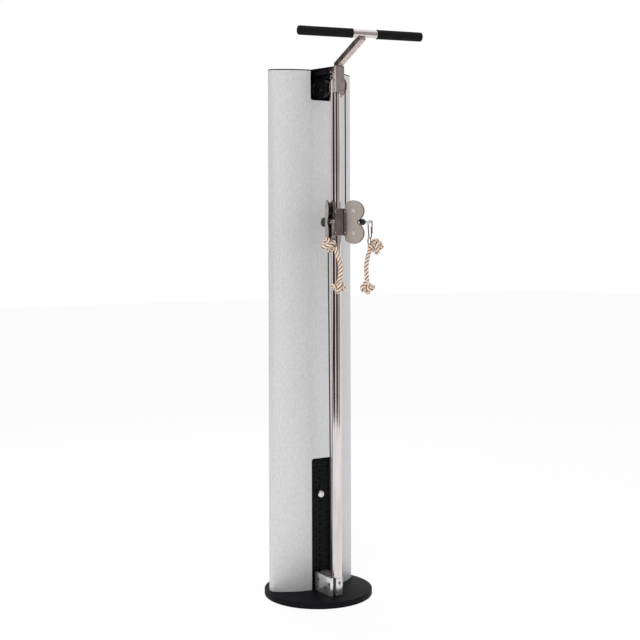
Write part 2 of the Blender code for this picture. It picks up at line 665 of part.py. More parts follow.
def ball_stop(name, frame, cable_from, finish):
    """Rubber ball on the cable's end, with the clevis that the snap hook hangs on."""
    ball_at = Vector((BALL_REACH, 0, 0))
    bm = bmesh.new()
    bmesh.ops.create_uvsphere(bm, u_segments=16, v_segments=10, radius=BALL_RADIUS)
    bmesh.ops.translate(bm, verts=bm.verts, vec=frame @ ball_at)
    ball = from_bmesh(name + "_ball_stop", bm, finish["plastic"], frame.translation, smooth=60)
    rise = cable_from * LOBE_RISE
    start, end = 180, 180 + cable_from * 90
    bend = arc((PULLEY_RUN, rise), PULLEY_RUN, start, end, 9)
    bend[0] = (0.0, rise)
    path = [frame @ Vector((x, y, 0)) for x, y in bend] + [frame @ ball_at]
    tail = tube(name + "_tail", path, CABLE_RADIUS, None)
    parts = [tail]
    for near, far in ((-0.0062, -0.0038), (0.0038, 0.0062)):
        parts.append(block(name + "_lug", (BALL_REACH + 0.006, -0.005, near), (HOOK_REACH + 0.005, 0.005, far),
                           None, turn=frame))
    pin_start, pin_end = (frame @ Vector((HOOK_REACH, 0, z)) for z in (-0.0070, 0.0070))
    parts.append(rod(name + "_clevis_pin", pin_start, pin_end, 0.0025, None, segments=16))
    for part in parts:
        combine_one(ball, part)


def smooth_route(points, count):
    """Points of a Catmull-Rom curve through the route's own points, evenly numbered."""
    padded = [points[0] * 2 - points[1]] + points + [points[-1] * 2 - points[-2]]
    spans = len(points) - 1
    result = []
    for step in range(count + 1):
        at = min(step / count * spans, spans - 1e-9)
        i, t = int(at), at - int(at)
        a, b, c, d = padded[i:i + 4]
        result.append(0.5 * (2 * b + (c - a) * t + (2 * a - 5 * b + 4 * c - d) * t ** 2
                             + (3 * b - a - 3 * c + d) * t ** 3))
    return result


def handle(name, frame, route, top_knot, low_knot, ring_spot, finish):
    """Snap hook with its ring, and the short rope, tied to the ring by its upper knot. The route, the
    knots and the ring are given as (sideways, height): metres along VIEW_RIGHT from the clevis pin,
    and world height."""
    pin_at = frame @ Vector((HOOK_REACH, 0, 0))

    def spot(side, height):
        flat = pin_at + VIEW_RIGHT * side
        return Vector((flat.x, flat.y, height))

    points = smooth_route([spot(*item) for item in route], 16)
    ring_side = Matrix.Rotation(math.radians(RING_TURN), 3, "Z") @ VIEW_RIGHT
    ring = [spot(*ring_spot) + ring_side * math.cos(a) * RING_RADIUS + Vector((0, 0, math.sin(a) * RING_RADIUS))
            for a in (math.tau * i / 16 for i in range(16))]
    tube(name + "_rope", points, ROPE_RADIUS, finish["rope"], pin_at, 2)
    for level, (side, height, wide, tall), end, inner in (("upper", top_knot, points[0], points[1]),
                                                          ("lower", low_knot, points[-1], points[-2])):
        bm = bmesh.new()
        bmesh.ops.create_uvsphere(bm, u_segments=16, v_segments=10, radius=1.0)
        scale = Matrix.Diagonal((wide, min(wide, tall) * 0.95, tall, 1))
        turn = Matrix.Rotation(math.atan2(VIEW_RIGHT.y, VIEW_RIGHT.x), 4, "Z")
        bmesh.ops.transform(bm, matrix=Matrix.Translation(spot(side, height)) @ turn @ scale, verts=bm.verts)
        knot = from_bmesh(f"{name}_{level}_knot", bm, finish["rope"], pin_at, smooth=60)
        away = (end - inner).normalized()
        socket = rod(f"{name}_{level}_socket", inner - away * 0.04, end + away * GAP, ROPE_RADIUS + 0.0006,
                     None)
        combine(knot, [socket], "DIFFERENCE")
        if level == "upper":
            ring_way = tube(name + "_ring_way", ring, WIRE_RADIUS + 0.0005, None, resolution=1, closed=True)
            combine(knot, [ring_way], "DIFFERENCE")
            knot.modifiers[-1].name = "ring_way"
    hook_low = CARRIAGE_Z + HOOK_RISE - HOOK_LENGTH
    center_top = CARRIAGE_Z + HOOK_RISE - HOOK_HALF
    loop = [(HOOK_REACH + x, y) for x, y in arc((0, center_top), HOOK_HALF, 180, 0, 9)]
    loop += [(HOOK_REACH + x, y) for x, y in arc((0, hook_low + 0.005), 0.005, 0, -180, 7)]
    wire = [frame @ Vector((x, y - CARRIAGE_Z, 0)) for x, y in loop]
    hook = tube(name + "_snap_hook", wire, WIRE_RADIUS, finish["polished"], pin_at, 1, closed=True)
    link_top = frame @ Vector((HOOK_REACH, hook_low + 0.001 - CARRIAGE_Z, 0))
    nearest = min(ring, key=lambda p: (p - link_top).length)
    combine_one(hook, tube(name + "_ring", ring, WIRE_RADIUS, None, resolution=1, closed=True))
    if (nearest - link_top).length > WIRE_RADIUS:
        reach = (nearest - link_top).normalized() * 0.001
        combine_one(hook, rod(name + "_link", link_top - reach, nearest + reach, WIRE_RADIUS * 0.9, None))


def handles(finish):
    right_route = [(0.0020, 1.3470), (-0.0050, 1.3290), (-0.0100, 1.3110), (-0.0140, 1.2880), (-0.0150, 1.2655),
                   (-0.0135, 1.2400), (-0.0115, 1.2130)]
    handle("right_handle", unit_frame(1, RIGHT_TURN), right_route, (0.0210, 1.3540, 0.0280, 0.0290),
           (-0.0110, 1.1970, 0.0270, 0.0240), (-0.0030, 1.3750), finish)
    left_route = [(0.0050, 1.3540), (0.0135, 1.3360), (0.0220, 1.3120), (0.0285, 1.2860), (0.0290, 1.2620),
                  (0.0260, 1.2400), (0.0225, 1.2200)]
    handle("left_handle", unit_frame(-1, LEFT_TURN), left_route, (-0.0160, 1.3620, 0.0270, 0.0260),
           (0.0200, 1.2050, 0.0265, 0.0230), (0.0020, 1.3820), finish)


def cables(finish):
    head_at, inner_at = wheel_centers()
    forward = wheel_plane()
    up = Vector((0, 0, 1))
    over = [head_at + (forward * math.cos(a) + up * math.sin(a)) * WHEEL_RUN
            for a in (math.radians(10 * i) for i in range(10))]
    over += [inner_at + (forward * math.cos(a) + up * math.sin(a)) * WHEEL_RUN
             for a in (math.radians(90 + 10 * i) for i in range(10))]
    tube("top_cable", over, CABLE_RADIUS, finish["cable"], resolution=1)
    axis_top = Vector((SWIVEL_X, SWIVEL_Y, WHEEL_Z - GAP))
    lobe_top = Vector((SWIVEL_X, SWIVEL_Y, CARRIAGE_Z + LOBE_RISE + GAP))
    tube("upper_cable", [axis_top, lobe_top], CABLE_RADIUS, finish["cable"])
    lobe_low = Vector((-SWIVEL_X, SWIVEL_Y, CARRIAGE_Z - LOBE_RISE - GAP))
    foot_top = Vector((FOOT_RUN_X, FOOT_RUN_Y, FOOT_WHEEL_Z + GAP))
    tube("lower_cable", [lobe_low, foot_top], CABLE_RADIUS, finish["cable"])
    wheel_at = Vector((FOOT_RUN_X, FOOT_RUN_Y + FOOT_WHEEL_RUN, FOOT_WHEEL_Z))
    under = [wheel_at + Vector((0, y, z)) for y, z in arc((0, 0), FOOT_WHEEL_RUN, 180, 270, 8)]
    under.append(Vector((FOOT_RUN_X, PLATE_FRONT_Y + 0.0015 - GAP, FOOT_WHEEL_Z - FOOT_WHEEL_RUN)))
    tube("foot_cable", under, CABLE_RADIUS, finish["cable"], resolution=1)
    stack_top = Vector((0, STACK_Y, WHEEL_Z - GAP))
    tube("stack_cable", [stack_top, Vector((0, STACK_Y, STEM_TOP + GAP))], CABLE_RADIUS, finish["cable"])


def build():
    fresh_scene()
    finish = finishes()
    base(finish)
    cabinet(finish)
    head(finish)
    guide_wheels(finish)
    top_bar(finish)
    foot(finish)
    weight_stack(finish)
    carriage(finish)
    pulley_unit("right", 1, RIGHT_TURN, 1, finish)
    pulley_unit("left", -1, LEFT_TURN, -1, finish)
    handles(finish)
    cables(finish)


build()
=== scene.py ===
"""Looks of the slim column cable machine: brushed cabinet, polished rail, pulley units and rope handles.
Metres, +Z up, the front towards -Y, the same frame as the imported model."""

import math

import bpy
from mathutils import Matrix, Vector
from mathutils.kdtree import KDTree


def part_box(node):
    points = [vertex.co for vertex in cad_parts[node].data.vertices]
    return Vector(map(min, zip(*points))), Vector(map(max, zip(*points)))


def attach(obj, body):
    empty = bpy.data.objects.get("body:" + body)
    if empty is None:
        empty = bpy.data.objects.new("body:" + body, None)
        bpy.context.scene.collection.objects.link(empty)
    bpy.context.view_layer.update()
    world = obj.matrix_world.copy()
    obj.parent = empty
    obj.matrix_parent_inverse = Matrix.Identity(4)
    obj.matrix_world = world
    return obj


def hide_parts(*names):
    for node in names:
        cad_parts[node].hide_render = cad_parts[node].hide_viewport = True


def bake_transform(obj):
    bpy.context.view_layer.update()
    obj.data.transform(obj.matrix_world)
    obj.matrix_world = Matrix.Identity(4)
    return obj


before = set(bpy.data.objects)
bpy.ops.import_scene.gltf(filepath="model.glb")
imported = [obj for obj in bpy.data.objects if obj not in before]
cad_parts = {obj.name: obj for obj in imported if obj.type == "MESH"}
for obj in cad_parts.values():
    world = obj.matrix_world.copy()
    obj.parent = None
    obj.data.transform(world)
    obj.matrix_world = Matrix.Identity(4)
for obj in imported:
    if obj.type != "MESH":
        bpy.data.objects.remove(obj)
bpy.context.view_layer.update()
bpy.ops.object.select_all(action="DESELECT")

CAMERA_PLACE = (-2.4210, -3.8314, 1.377)
CAMERA_TURN = -32.29            # degrees; the camera is level
CAMERA_ROLL = -0.17
CAMERA_SENSOR = 36
CAMERA_LENS = 65.13
CAMERA_SHIFT = (0.0042, -0.1238)
CAMERA_REACH = 100

LAMPS = (                       # name, place, target, size, power
    ("key", (-3.2, -2.6, 3.6), (0, 0, 1.1), 2.2, 88),
    ("low", (-2.8, -3.0, 0.7), (0, 0, 0.3), 1.6, 20),
    ("fill", (2.6, -3.4, 2.4), (0, 0, 1.0), 2.4, 26),
    ("back", (0.8, 3.0, 3.2), (0, 0, 1.2), 2.2, 60),
)
ROOM_COLOR = (0.985, 0.985, 1.0, 1)
ROOM_STRENGTH = 0.62
FLOOR_SIZE = 40
FLOOR_COLOR = (0.92, 0.92, 0.92, 1)
FLOOR_ROUGHNESS = 0.85
FLOOR_WHITENESS = 0.92          # the share of plain white in the floor as it is seen

CARD_DISTANCE = 3.0
CARD_HEIGHT = 5.0
CARDS = (                       # middle and spread in degrees, shade
    (-171, 58, "dark"),
    (-106, 37, "dark"),
    (-54, 68, "grey"),
    (118, 28, "dark"),
)
CARD_SHADES = {"dark": (0.060, 0.040, 0.036, 1), "grey": (0.42, 0.40, 0.39, 1)}

GRAIN_ROUGHNESS = 0.62
GLOSS_RANGE = (0.3, 0.7)        # the part of the grain that the gloss follows
RELIEF_DEPTH = 0.0003

UP = Vector((0, 0, 1))
VIEW_RIGHT = Vector((0.8454, -0.5342, 0.0))
VIEW_FRONT = VIEW_RIGHT.cross(UP)
GAP = 0.0003                    # clearance between pieces that meet
PAST = 0.01                     # how far a cutter runs past what it cuts

DISC_RADIUS = 0.210
DISC_HEIGHT = 0.0234
DISC_EDGE = 0.0035

BOW_FRONT_Y = -0.0307
BOW_RADIUS = 0.2749
BOW_HALF = 0.177
CORNER_RADIUS = 0.0253
CABINET_LOW = DISC_HEIGHT + GAP
CABINET_TOP = 2.036
SHEET = 0.003
BACK_OPENING_HALF = 0.150
WINDOW_HALF = 0.045
LOW_WINDOW_TOP = 0.532
HIGH_WINDOW_BOTTOM = 1.9225
WINDOW_CORNER = 0.009
CUTTER_REACH = (-0.005, 0.06)   # ends of the window cutters, measured towards the front
SHADE_BACK_Y = 0.06             # the wrap's inside is painted black as shade as far back as this

RAIL_Y = -0.133
RAIL_RADIUS = 0.019
RAIL_LOW = 0.0945
RAIL_TOP = 1.988
HEAD_HALF = 0.019
HEAD_FRONT = -0.1665
HEAD_BACK = -0.1415
HEAD_CLAMP_LOW = 1.940
HEAD_TOP = 2.0403
CAP_TAIL_END = -0.109
CAP_TAIL_HEIGHT = 0.0185
CAP_TAIL_LAP = 0.004
HEAD_SCREWS = (("cap_screw", -0.155, 2.012), ("clamp_screw", -0.154, 1.965))    # name, y, z

HEAD_SCREW = (0.0045, 0.0016)   # radius and height of each kind of screw head
FOOT_SCREW = (0.0042, 0.0012)
HINGE_BOLT = (0.0034, 0.0018)
CHEEK_SCREW = (0.0072, 0.0014)
SLOT_TURN = 35.0

CABLE_RADIUS = 0.0025
AXLE_RADIUS = 0.005
WHEEL_BORE = 0.0053
WHEEL_Z = 1.971
WHEEL_RUN = 0.041               # radius at which the cable's middle runs
WHEEL_FLANGE = 0.0445
WHEEL_HALF = 0.008
WHEEL_DISH = 0.0024
SWIVEL_X = 0.040
SWIVEL_Y = -0.140
STACK_Y = 0.030
STACK_FRONT = -0.013

PLATE_PITCH = 0.030
PLATE_SEAM = 0.001
PLATE_COUNT = 15
RESTING_COUNT = 11
PLATE_PLAN = ((0.060, STACK_FRONT), (0.130, 0.012), (0.130, 0.062))             # right halves
CUSHION_PLAN = ((0.054, STACK_FRONT + 0.0025), (0.122, 0.0145), (0.122, 0.060))
STACK_BOTTOM = 0.0455
TOP_PLATE_HEIGHT = 0.034
ROD_X = 0.095
ROD_RADIUS = 0.010
ROD_BORE = 0.0106
ROD_TOP = 1.900
STEM_RADIUS = 0.0095
STEM_BORE = 0.0101
STEM_TOP = 0.560
STEM_HOLE_Y = (0.010, 0.050)
PIN_Z = 0.390
PIN_RADIUS = 0.004
PIN_BORE = 0.0046
PIN_BORE_START_Y = -0.03
PIN_KNOB = ((0, 0), (0.0118, 0), (0.0135, 0.0016), (0.0135, 0.0098), (0.0120, 0.0116), (0.0075, 0.0120),
            (0.0065, 0.0108), (0, 0.0108))

FOOT_TOP = 0.0942
FOOT_FRONT = -0.138
FOOT_BACK = -0.0285
FOOT_BLOCK_X = (-0.0065, 0.0231)
FOOT_BORE_X = 0.0085
FOOT_BORE_Z = 0.070
FOOT_BORE_DEPTH = 0.015
FOOT_BORE_RADIUS = 0.005
FOOT_AXLE_X = (-0.0191, -0.0025)
FOOT_SCREWS = ((-0.128, 0.070), (-0.100, 0.047), (-0.052, 0.070))               # y, z
FOOT_WHEEL = Vector((-0.013, -0.0872, 0.0585))
FOOT_RUN = 0.028
FOOT_FLANGE = 0.0315
FOOT_WHEEL_HALF = 0.0055
FOOT_CABLE_Y = -0.1152          # where the lower cable meets its wheel

CARRIAGE_Z = 1.448
SLEEVE_HALF = 0.027
SLEEVE_HEIGHT = 0.104
SLEEVE_PLAY = 0.0005
EAR_LEVELS = (0.0123, -0.0163)
EAR_RADIUS = 0.0075
EAR_HEIGHT = 0.004
EAR_BORE = 0.0035
ARM_ROOT = 0.004                # how deep an ear's arm is set into the sleeve
ARM_BACK = 0.010
ARM_INSET = 0.0002
HINGE_X = 0.0225
HINGE_HALF = 0.0045
HINGE_RISE = 0.048
HINGE_PROUD = 0.0028
HINGE_BOLT_RISE = 0.040
KNOB_X = -0.034
KNOB_Y = -0.112
KNOB_PROFILE = ((0, 0.0035), (0.0085, 0.0035), (0.010, 0), (0.0155, 0), (0.018, 0.0015), (0.018, 0.0085),
                (0.0165, 0.010), (0, 0.010))
KNOB_STEM_X = -0.036
KNOB_STEM_RADIUS = 0.006

LOBE_RISE = 0.0425
LOBE_RADIUS = 0.0405
PULLEY_RUN = 0.0315
PULLEY_FLANGE = 0.0345
PULLEY_HALF = 0.0078
PULLEY_DISH = 0.0018
SPINDLE_HALF = 0.0115
NOTCH_DEPTH = 0.015
CHEEK_INNER = 0.009
CHEEK_THICKNESS = 0.003
CHEEK_EDGE = 0.0013             # rounding of the cheeks' rims, which are painted black as shade
BARREL_RADIUS = 0.0065
BARREL_HALF = 0.012
BARREL_WEB = ((0.002, -0.011), (0.014, 0.011))
BALL_REACH = 0.066
BALL_RADIUS = 0.0125
COLLAR = (0.002, 0.0052, 0.009, 0.0165)         # inner and outer radius, start and end
CLEVIS_START = 0.013            # beyond the ball's centre, as its bridge
CLEVIS_BRIDGE = (0.0125, 0.0155)
CLEVIS_HALF = 0.005
CLEVIS_SIDES = (0.0038, 0.0062)
CLEVIS_PIN_HALF = 0.0072
CLEVIS_PIN_RADIUS = 0.0025
HOOK_REACH = 0.095
LEVELS = (("upper", LOBE_RISE), ("lower", -LOBE_RISE))
UNITS = (("right", 1, -44.0, 1), ("left", -1, -112.0, -1))      # name, side, turn, where the cable comes from

ROPE_RADIUS = 0.009
STRANDS = 3
STRAND_RADIUS = 0.47            # shares of the rope's radius
STRAND_OFFSET = 0.54
LAY_PITCH = 0.046
LAY_DEPTH = "lay_depth"         # distance from the centreline, as a share of the rope's radius; the rope's painted groove shade follows it
ROUTE_STEPS = 64
KNOT_STEPS = 96
KNOT_PHASE = 0.6
WIRE_RADIUS = 0.0025
RING_RADIUS = 0.0128
RING_TURN = 62.0
HOOK_TOP = 0.0055
HOOK_LENGTH = 0.066
HOOK_WIDE = 0.008
HOOK_NARROW = 0.005
GATE_X = 0.0062
GATE_SPAN = (-0.018, -0.044)
GATE_RADII = (0.0026, 0.0040)

# Places are (across the view from the hook's pin, height); a knot adds half width, half height, turn, lean.
ROPES = {
    "right": {
        "ring": (-0.0030, 1.3750),
        "upper": (0.0210, 1.3540, 0.0280, 0.0290, 35, 62),
        "route": ((0.0020, 1.3470), (-0.0050, 1.3290), (-0.0100, 1.3110), (-0.0140, 1.2880),
                  (-0.0150, 1.2655), (-0.0135, 1.2400), (-0.0115, 1.2130)),
        "lower": (-0.0110, 1.1970, 0.0270, 0.0240, -20, -55),
    },
    "left": {
        "ring": (0.0020, 1.3820),
        "upper": (-0.0160, 1.3620, 0.0270, 0.0260, -40, 66),
        "route": ((0.0050, 1.3540), (0.0135, 1.3360), (0.0220, 1.3120), (0.0285, 1.2860),
                  (0.0290, 1.2620), (0.0260, 1.2400), (0.0225, 1.2200)),
        "lower": (0.0200, 1.2050, 0.0265, 0.0230, 15, 58),
    },
}

BAR_MIDDLE = Vector((0, -0.3045, 2.1413))
BAR_LENGTH = 0.490
BAR_TURN = -13.4
BAR_RADIUS = 0.0150
BAR_INSET = 0.003
GRIP_RADIUS = 0.0172
GRIP_ROUND = 0.007
GRIP_FLOOR = 0.0025
GRIP_LIP = ((0, 0.004), (0.0008, 0.0034), (0.0008, 0.0008), (0, 0))     # beyond the radius, before the end
GRIPS = (("left", 0.212, 1), ("right", 0.182, -1))

KEPT_NODES = (("head_hanger", "steel"), ("inner_hanger", "steel"), ("bar_arm", "steel"), ("guide_bar", "black"))


def camera_and_light():
    bpy.ops.object.camera_add(location=CAMERA_PLACE)
    camera = bpy.context.object
    aim = Matrix.Rotation(math.radians(CAMERA_TURN), 4, "Z") @ Matrix.Rotation(math.radians(90), 4, "X")
    roll = Matrix.Rotation(math.radians(CAMERA_ROLL), 4, "Z")
    camera.matrix_world = Matrix.Translation(camera.location) @ aim @ roll
    camera.data.sensor_width = CAMERA_SENSOR
    camera.data.lens = CAMERA_LENS
    camera.data.shift_x, camera.data.shift_y = CAMERA_SHIFT
    camera.data.clip_end = CAMERA_REACH
    bpy.context.scene.camera = camera
    for name, place, target, size, power in LAMPS:
        facing = (Vector(target) - Vector(place)).to_track_quat("-Z", "Y").to_euler()
        bpy.ops.object.light_add(type="AREA", location=place, rotation=facing)
        lamp = bpy.context.object
        lamp.name = name + "_lamp"
        lamp.data.size = size
        lamp.data.energy = power
        lamp.visible_glossy = False
    bpy.context.scene.view_settings.view_transform = "Standard"


def seen_white(tree, lit, strength):
    """Mixes a surface or a world with plain white for camera, glossy and see-through rays."""
    path = tree.nodes.new("ShaderNodeLightPath")
    first = tree.nodes.new("ShaderNodeMath")
    first.operation = "MAXIMUM"
    second = tree.nodes.new("ShaderNodeMath")
    second.operation = "MAXIMUM"
    tree.links.new(path.outputs["Is Camera Ray"], first.inputs[0])
    tree.links.new(path.outputs["Is Glossy Ray"], first.inputs[1])
    tree.links.new(first.outputs[0], second.inputs[0])
    tree.links.new(path.outputs["Is Transmission Ray"], second.inputs[1])
    share = tree.nodes.new("ShaderNodeMath")
    share.operation = "MULTIPLY"
    share.inputs[1].default_value = strength
    tree.links.new(second.outputs[0], share.inputs[0])
    mix = tree.nodes.new("ShaderNodeMixShader")
    tree.links.new(share.outputs[0], mix.inputs["Fac"])
    tree.links.new(lit, mix.inputs[1])
    return mix


def studio():
    """White surroundings, and a pale floor that keeps the machine's shadow."""
    world = bpy.data.worlds.new("studio")
    bpy.context.scene.world = world
    world.use_nodes = True
    tree = world.node_tree
    room = tree.nodes["Background"]
    room.inputs["Color"].default_value = ROOM_COLOR
    room.inputs["Strength"].default_value = ROOM_STRENGTH
    white = tree.nodes.new("ShaderNodeBackground")
    white.inputs["Color"].default_value = (1, 1, 1, 1)
    white.inputs["Strength"].default_value = 1.0
    mix = seen_white(tree, room.outputs[0], 1.0)
    tree.links.new(white.outputs[0], mix.inputs[2])
    tree.links.new(mix.outputs[0], tree.nodes["World Output"].inputs["Surface"])

    bpy.ops.mesh.primitive_plane_add(size=FLOOR_SIZE)
    floor = bpy.context.object
    floor.name = "studio_floor"
    paint = bpy.data.materials.new("floor_paint")
    paint.use_nodes = True
    tree = paint.node_tree
    shader = tree.nodes["Principled BSDF"]
    shader.inputs["Base Color"].default_value = FLOOR_COLOR
    shader.inputs["Roughness"].default_value = FLOOR_ROUGHNESS
    glow = tree.nodes.new("ShaderNodeEmission")
    glow.inputs["Strength"].default_value = 1.0
    mix = seen_white(tree, shader.outputs[0], FLOOR_WHITENESS)
    tree.links.new(glow.outputs[0], mix.inputs[2])
    tree.links.new(mix.outputs[0], tree.nodes["Material Output"].inputs["Surface"])
    floor.data.materials.append(paint)


def cards():
    """Upright cards round the machine, seen only in reflections; the gaps between them make the
    bright lines on round polished metal."""
    paints = {}
    for shade, color in CARD_SHADES.items():
        paints[shade] = bpy.data.materials.new(shade + "_card_paint")
        paints[shade].use_nodes = True
        tree = paints[shade].node_tree
        glow = tree.nodes.new("ShaderNodeEmission")
        glow.inputs["Color"].default_value = color
        tree.links.new(glow.outputs[0], tree.nodes["Material Output"].inputs["Surface"])
    for number, (middle, spread, shade) in enumerate(CARDS):
        a = math.radians(middle)
        width = 2 * CARD_DISTANCE * math.tan(math.radians(spread / 2))
        place = (CARD_DISTANCE * math.cos(a), CARD_DISTANCE * math.sin(a), CARD_HEIGHT / 2)
        upright = (math.radians(90), 0, a + math.radians(90))
        bpy.ops.mesh.primitive_plane_add(size=1, location=place, rotation=upright)
        card = bpy.context.object
        card.name = f"card_{number}"
        card.scale = (width, CARD_HEIGHT, 1)
        card.data.materials.append(paints[shade])
        card.visible_camera = False
        card.visible_diffuse = False
        card.visible_shadow = False
        card.visible_transmission = False


def surface(name, dark, light, metallic, roughness, grain, bump, detail=5.0, specular=0.5,
            edges=(0.35, 0.65)):
    """A finish whose colour, gloss and relief all follow one grain; grain is its repeats per metre."""
    made = bpy.data.materials.new(name)
    made.use_nodes = True
    tree = made.node_tree
    shader = tree.nodes["Principled BSDF"]
    shader.inputs["Metallic"].default_value = metallic
    shader.inputs["Specular IOR Level"].default_value = specular
    where = tree.nodes.new("ShaderNodeTexCoord")
    stretch = tree.nodes.new("ShaderNodeMapping")
    stretch.inputs["Scale"].default_value = grain
    noise = tree.nodes.new("ShaderNodeTexNoise")
    noise.inputs["Scale"].default_value = 1.0
    noise.inputs["Detail"].default_value = detail
    noise.inputs["Roughness"].default_value = GRAIN_ROUGHNESS
    tint = tree.nodes.new("ShaderNodeValToRGB")
    tint.color_ramp.elements[0].position = edges[0]
    tint.color_ramp.elements[0].color = (*dark, 1)
    tint.color_ramp.elements[1].position = edges[1]
    tint.color_ramp.elements[1].color = (*light, 1)
    gloss = tree.nodes.new("ShaderNodeMapRange")
    gloss.inputs["From Min"].default_value = GLOSS_RANGE[0]
    gloss.inputs["From Max"].default_value = GLOSS_RANGE[1]
    gloss.inputs["To Min"].default_value = roughness[0]
    gloss.inputs["To Max"].default_value = roughness[1]
    relief = tree.nodes.new("ShaderNodeBump")
    relief.inputs["Strength"].default_value = bump
    relief.inputs["Distance"].default_value = RELIEF_DEPTH
    link = tree.links.new
    link(where.outputs["Object"], stretch.inputs["Vector"])
    link(stretch.outputs["Vector"], noise.inputs["Vector"])
    link(noise.outputs["Fac"], tint.inputs["Fac"])
    link(tint.outputs["Color"], shader.inputs["Base Color"])
    link(noise.outputs["Fac"], gloss.inputs["Value"])
    link(gloss.outputs["Result"], shader.inputs["Roughness"])
    link(noise.outputs["Fac"], relief.inputs["Height"])
    link(relief.outputs["Normal"], shader.inputs["Normal"])
    return made


def hemp_and_groove_shade():
    """Hemp whose colour is darkened into the grooves between its strands and down their flanks as painted shade,
    from each point's own depth.
    """
    made = surface("hemp_rope", (0.56, 0.43, 0.33), (0.90, 0.79, 0.68), 0.0, (0.78, 0.98), (620, 620, 260),
                   0.8, detail=8.0, edges=(0.38, 0.60))
    tree = made.node_tree
    shader = tree.nodes["Principled BSDF"]
    fibres = shader.inputs["Base Color"].links[0].from_socket
    depth = tree.nodes.new("ShaderNodeAttribute")
    depth.attribute_name = LAY_DEPTH
    # painted shade: the colour goes dark deep between the strands and part dark on their flanks
    groove = tree.nodes.new("ShaderNodeValToRGB")
    groove.color_ramp.elements[0].position = 0.60
    groove.color_ramp.elements[0].color = (0.10, 0.060, 0.040, 1)
    groove.color_ramp.elements[1].position = 0.97
    groove.color_ramp.elements[1].color = (1, 1, 1, 1)
    painted_flank_shade = groove.color_ramp.elements.new(0.84)
    painted_flank_shade.color = (0.62, 0.52, 0.44, 1)
    shaded = tree.nodes.new("ShaderNodeMix")
    shaded.data_type = "RGBA"
    shaded.blend_type = "MULTIPLY"
    shaded.inputs["Factor"].default_value = 1.0
    tree.links.new(depth.outputs["Fac"], groove.inputs["Fac"])
    tree.links.new(fibres, shaded.inputs[6])
    tree.links.new(groove.outputs["Color"], shaded.inputs[7])
    tree.links.new(shaded.outputs[2], shader.inputs["Base Color"])
    return made


def finishes():
    return {
        "brushed": surface("brushed_aluminium", (0.62, 0.62, 0.62), (0.76, 0.76, 0.765), 0.35, (0.46, 0.58),
                           (190, 190, 80), 0.06, detail=9.0, edges=(0.30, 0.70)),
        # near-black painted shade for the inside of the cabinet
        "inner_shade": surface("painted_inner_shade", (0.003, 0.003, 0.003), (0.008, 0.008, 0.009), 0.0, (0.65, 0.85),
                         (180, 180, 180), 0.2, specular=0.15),
        "rail": surface("polished_rail", (0.60, 0.56, 0.55), (0.80, 0.76, 0.75), 1.0, (0.06, 0.13),
                        (14, 14, 2.2), 0.02),
        "steel": surface("polished_steel", (0.46, 0.38, 0.36), (0.64, 0.56, 0.54), 1.0, (0.12, 0.24),
                         (60, 60, 18), 0.05),
        "chrome": surface("bright_steel", (0.62, 0.60, 0.58), (0.80, 0.79, 0.78), 1.0, (0.08, 0.20),
                          (90, 90, 90), 0.05),
        "mottled": surface("mottled_steel", (0.60, 0.59, 0.58), (0.90, 0.89, 0.88), 0.85, (0.12, 0.28),
                           (42, 30, 30), 0.03),
        "satin": surface("satin_steel", (0.42, 0.365, 0.32), (0.55, 0.485, 0.43), 0.55, (0.36, 0.50),
                         (260, 260, 420), 0.10),
        "black": surface("black_powder_coat", (0.004, 0.004, 0.005), (0.010, 0.010, 0.012), 0.0, (0.48, 0.64),
                         (900, 900, 900), 0.35, specular=0.06),
        "iron": surface("blackened_iron", (0.004, 0.004, 0.004), (0.010, 0.010, 0.011), 0.0, (0.42, 0.58),
                        (120, 120, 120), 0.30, specular=0.08),
        "nylon": surface("black_nylon", (0.004, 0.004, 0.004), (0.012, 0.012, 0.013), 0.0, (0.16, 0.28),
                         (240, 240, 240), 0.08),
        "foam": surface("grip_foam", (0.003, 0.003, 0.003), (0.010, 0.010, 0.011), 0.0, (0.60, 0.85),
                        (1100, 1100, 1100), 0.9, specular=0.18),
        "cable": surface("coated_cable", (0.008, 0.008, 0.009), (0.030, 0.028, 0.028), 0.0, (0.28, 0.42),
                         (500, 500, 60), 0.2),
        "rope": hemp_and_groove_shade(),
        "umber": surface("umber_steel", (0.20, 0.150, 0.140), (0.32, 0.255, 0.240), 1.0, (0.12, 0.24),
                         (60, 60, 14), 0.05),
        "screw": surface("screw_steel", (0.55, 0.54, 0.52), (0.74, 0.73, 0.71), 0.55, (0.22, 0.36),
                         (300, 300, 300), 0.05),
        # near-black painted shade standing for the darkness inside the foot screws' holes
        "hole": surface("painted_bore_shade", (0.004, 0.004, 0.004), (0.010, 0.009, 0.009), 0.3, (0.5, 0.7),
                        (300, 300, 300), 0.1),
    }


def open_mesh():
    """Enters edit mode with the whole mesh selected."""
    bpy.ops.object.mode_set(mode="EDIT")
    bpy.ops.mesh.select_all(action="SELECT")


def close_mesh():
    """Turns every face outward and leaves edit mode."""
    bpy.ops.mesh.select_all(action="SELECT")
    bpy.ops.mesh.normals_make_consistent(inside=False)
    bpy.ops.object.mode_set(mode="OBJECT")


def only(obj):
    bpy.ops.object.select_all(action="DESELECT")
    obj.select_set(True)
    bpy.context.view_layer.objects.active = obj


def apply_place(obj):
    only(obj)
    bpy.ops.object.transform_apply(location=True, rotation=True, scale=True)


def bevelled(obj, width, segments=3, angle=35):
    only(obj)
    edge = obj.modifiers.new("edge", "BEVEL")
    edge.width = width
    edge.segments = segments
    edge.limit_method = "ANGLE"
    edge.angle_limit = math.radians(angle)
    edge.use_clamp_overlap = True
    bpy.ops.object.modifier_apply(modifier="edge")
    return obj


def bored(obj, *cutters, operation="DIFFERENCE"):
    for cutter in cutters:
        only(obj)
        cut = obj.modifiers.new("cut", "BOOLEAN")
        cut.operation = operation
        cut.solver = "EXACT"
        cut.object = cutter
        bpy.ops.object.modifier_apply(modifier="cut")
        bpy.data.objects.remove(cutter)
    return obj


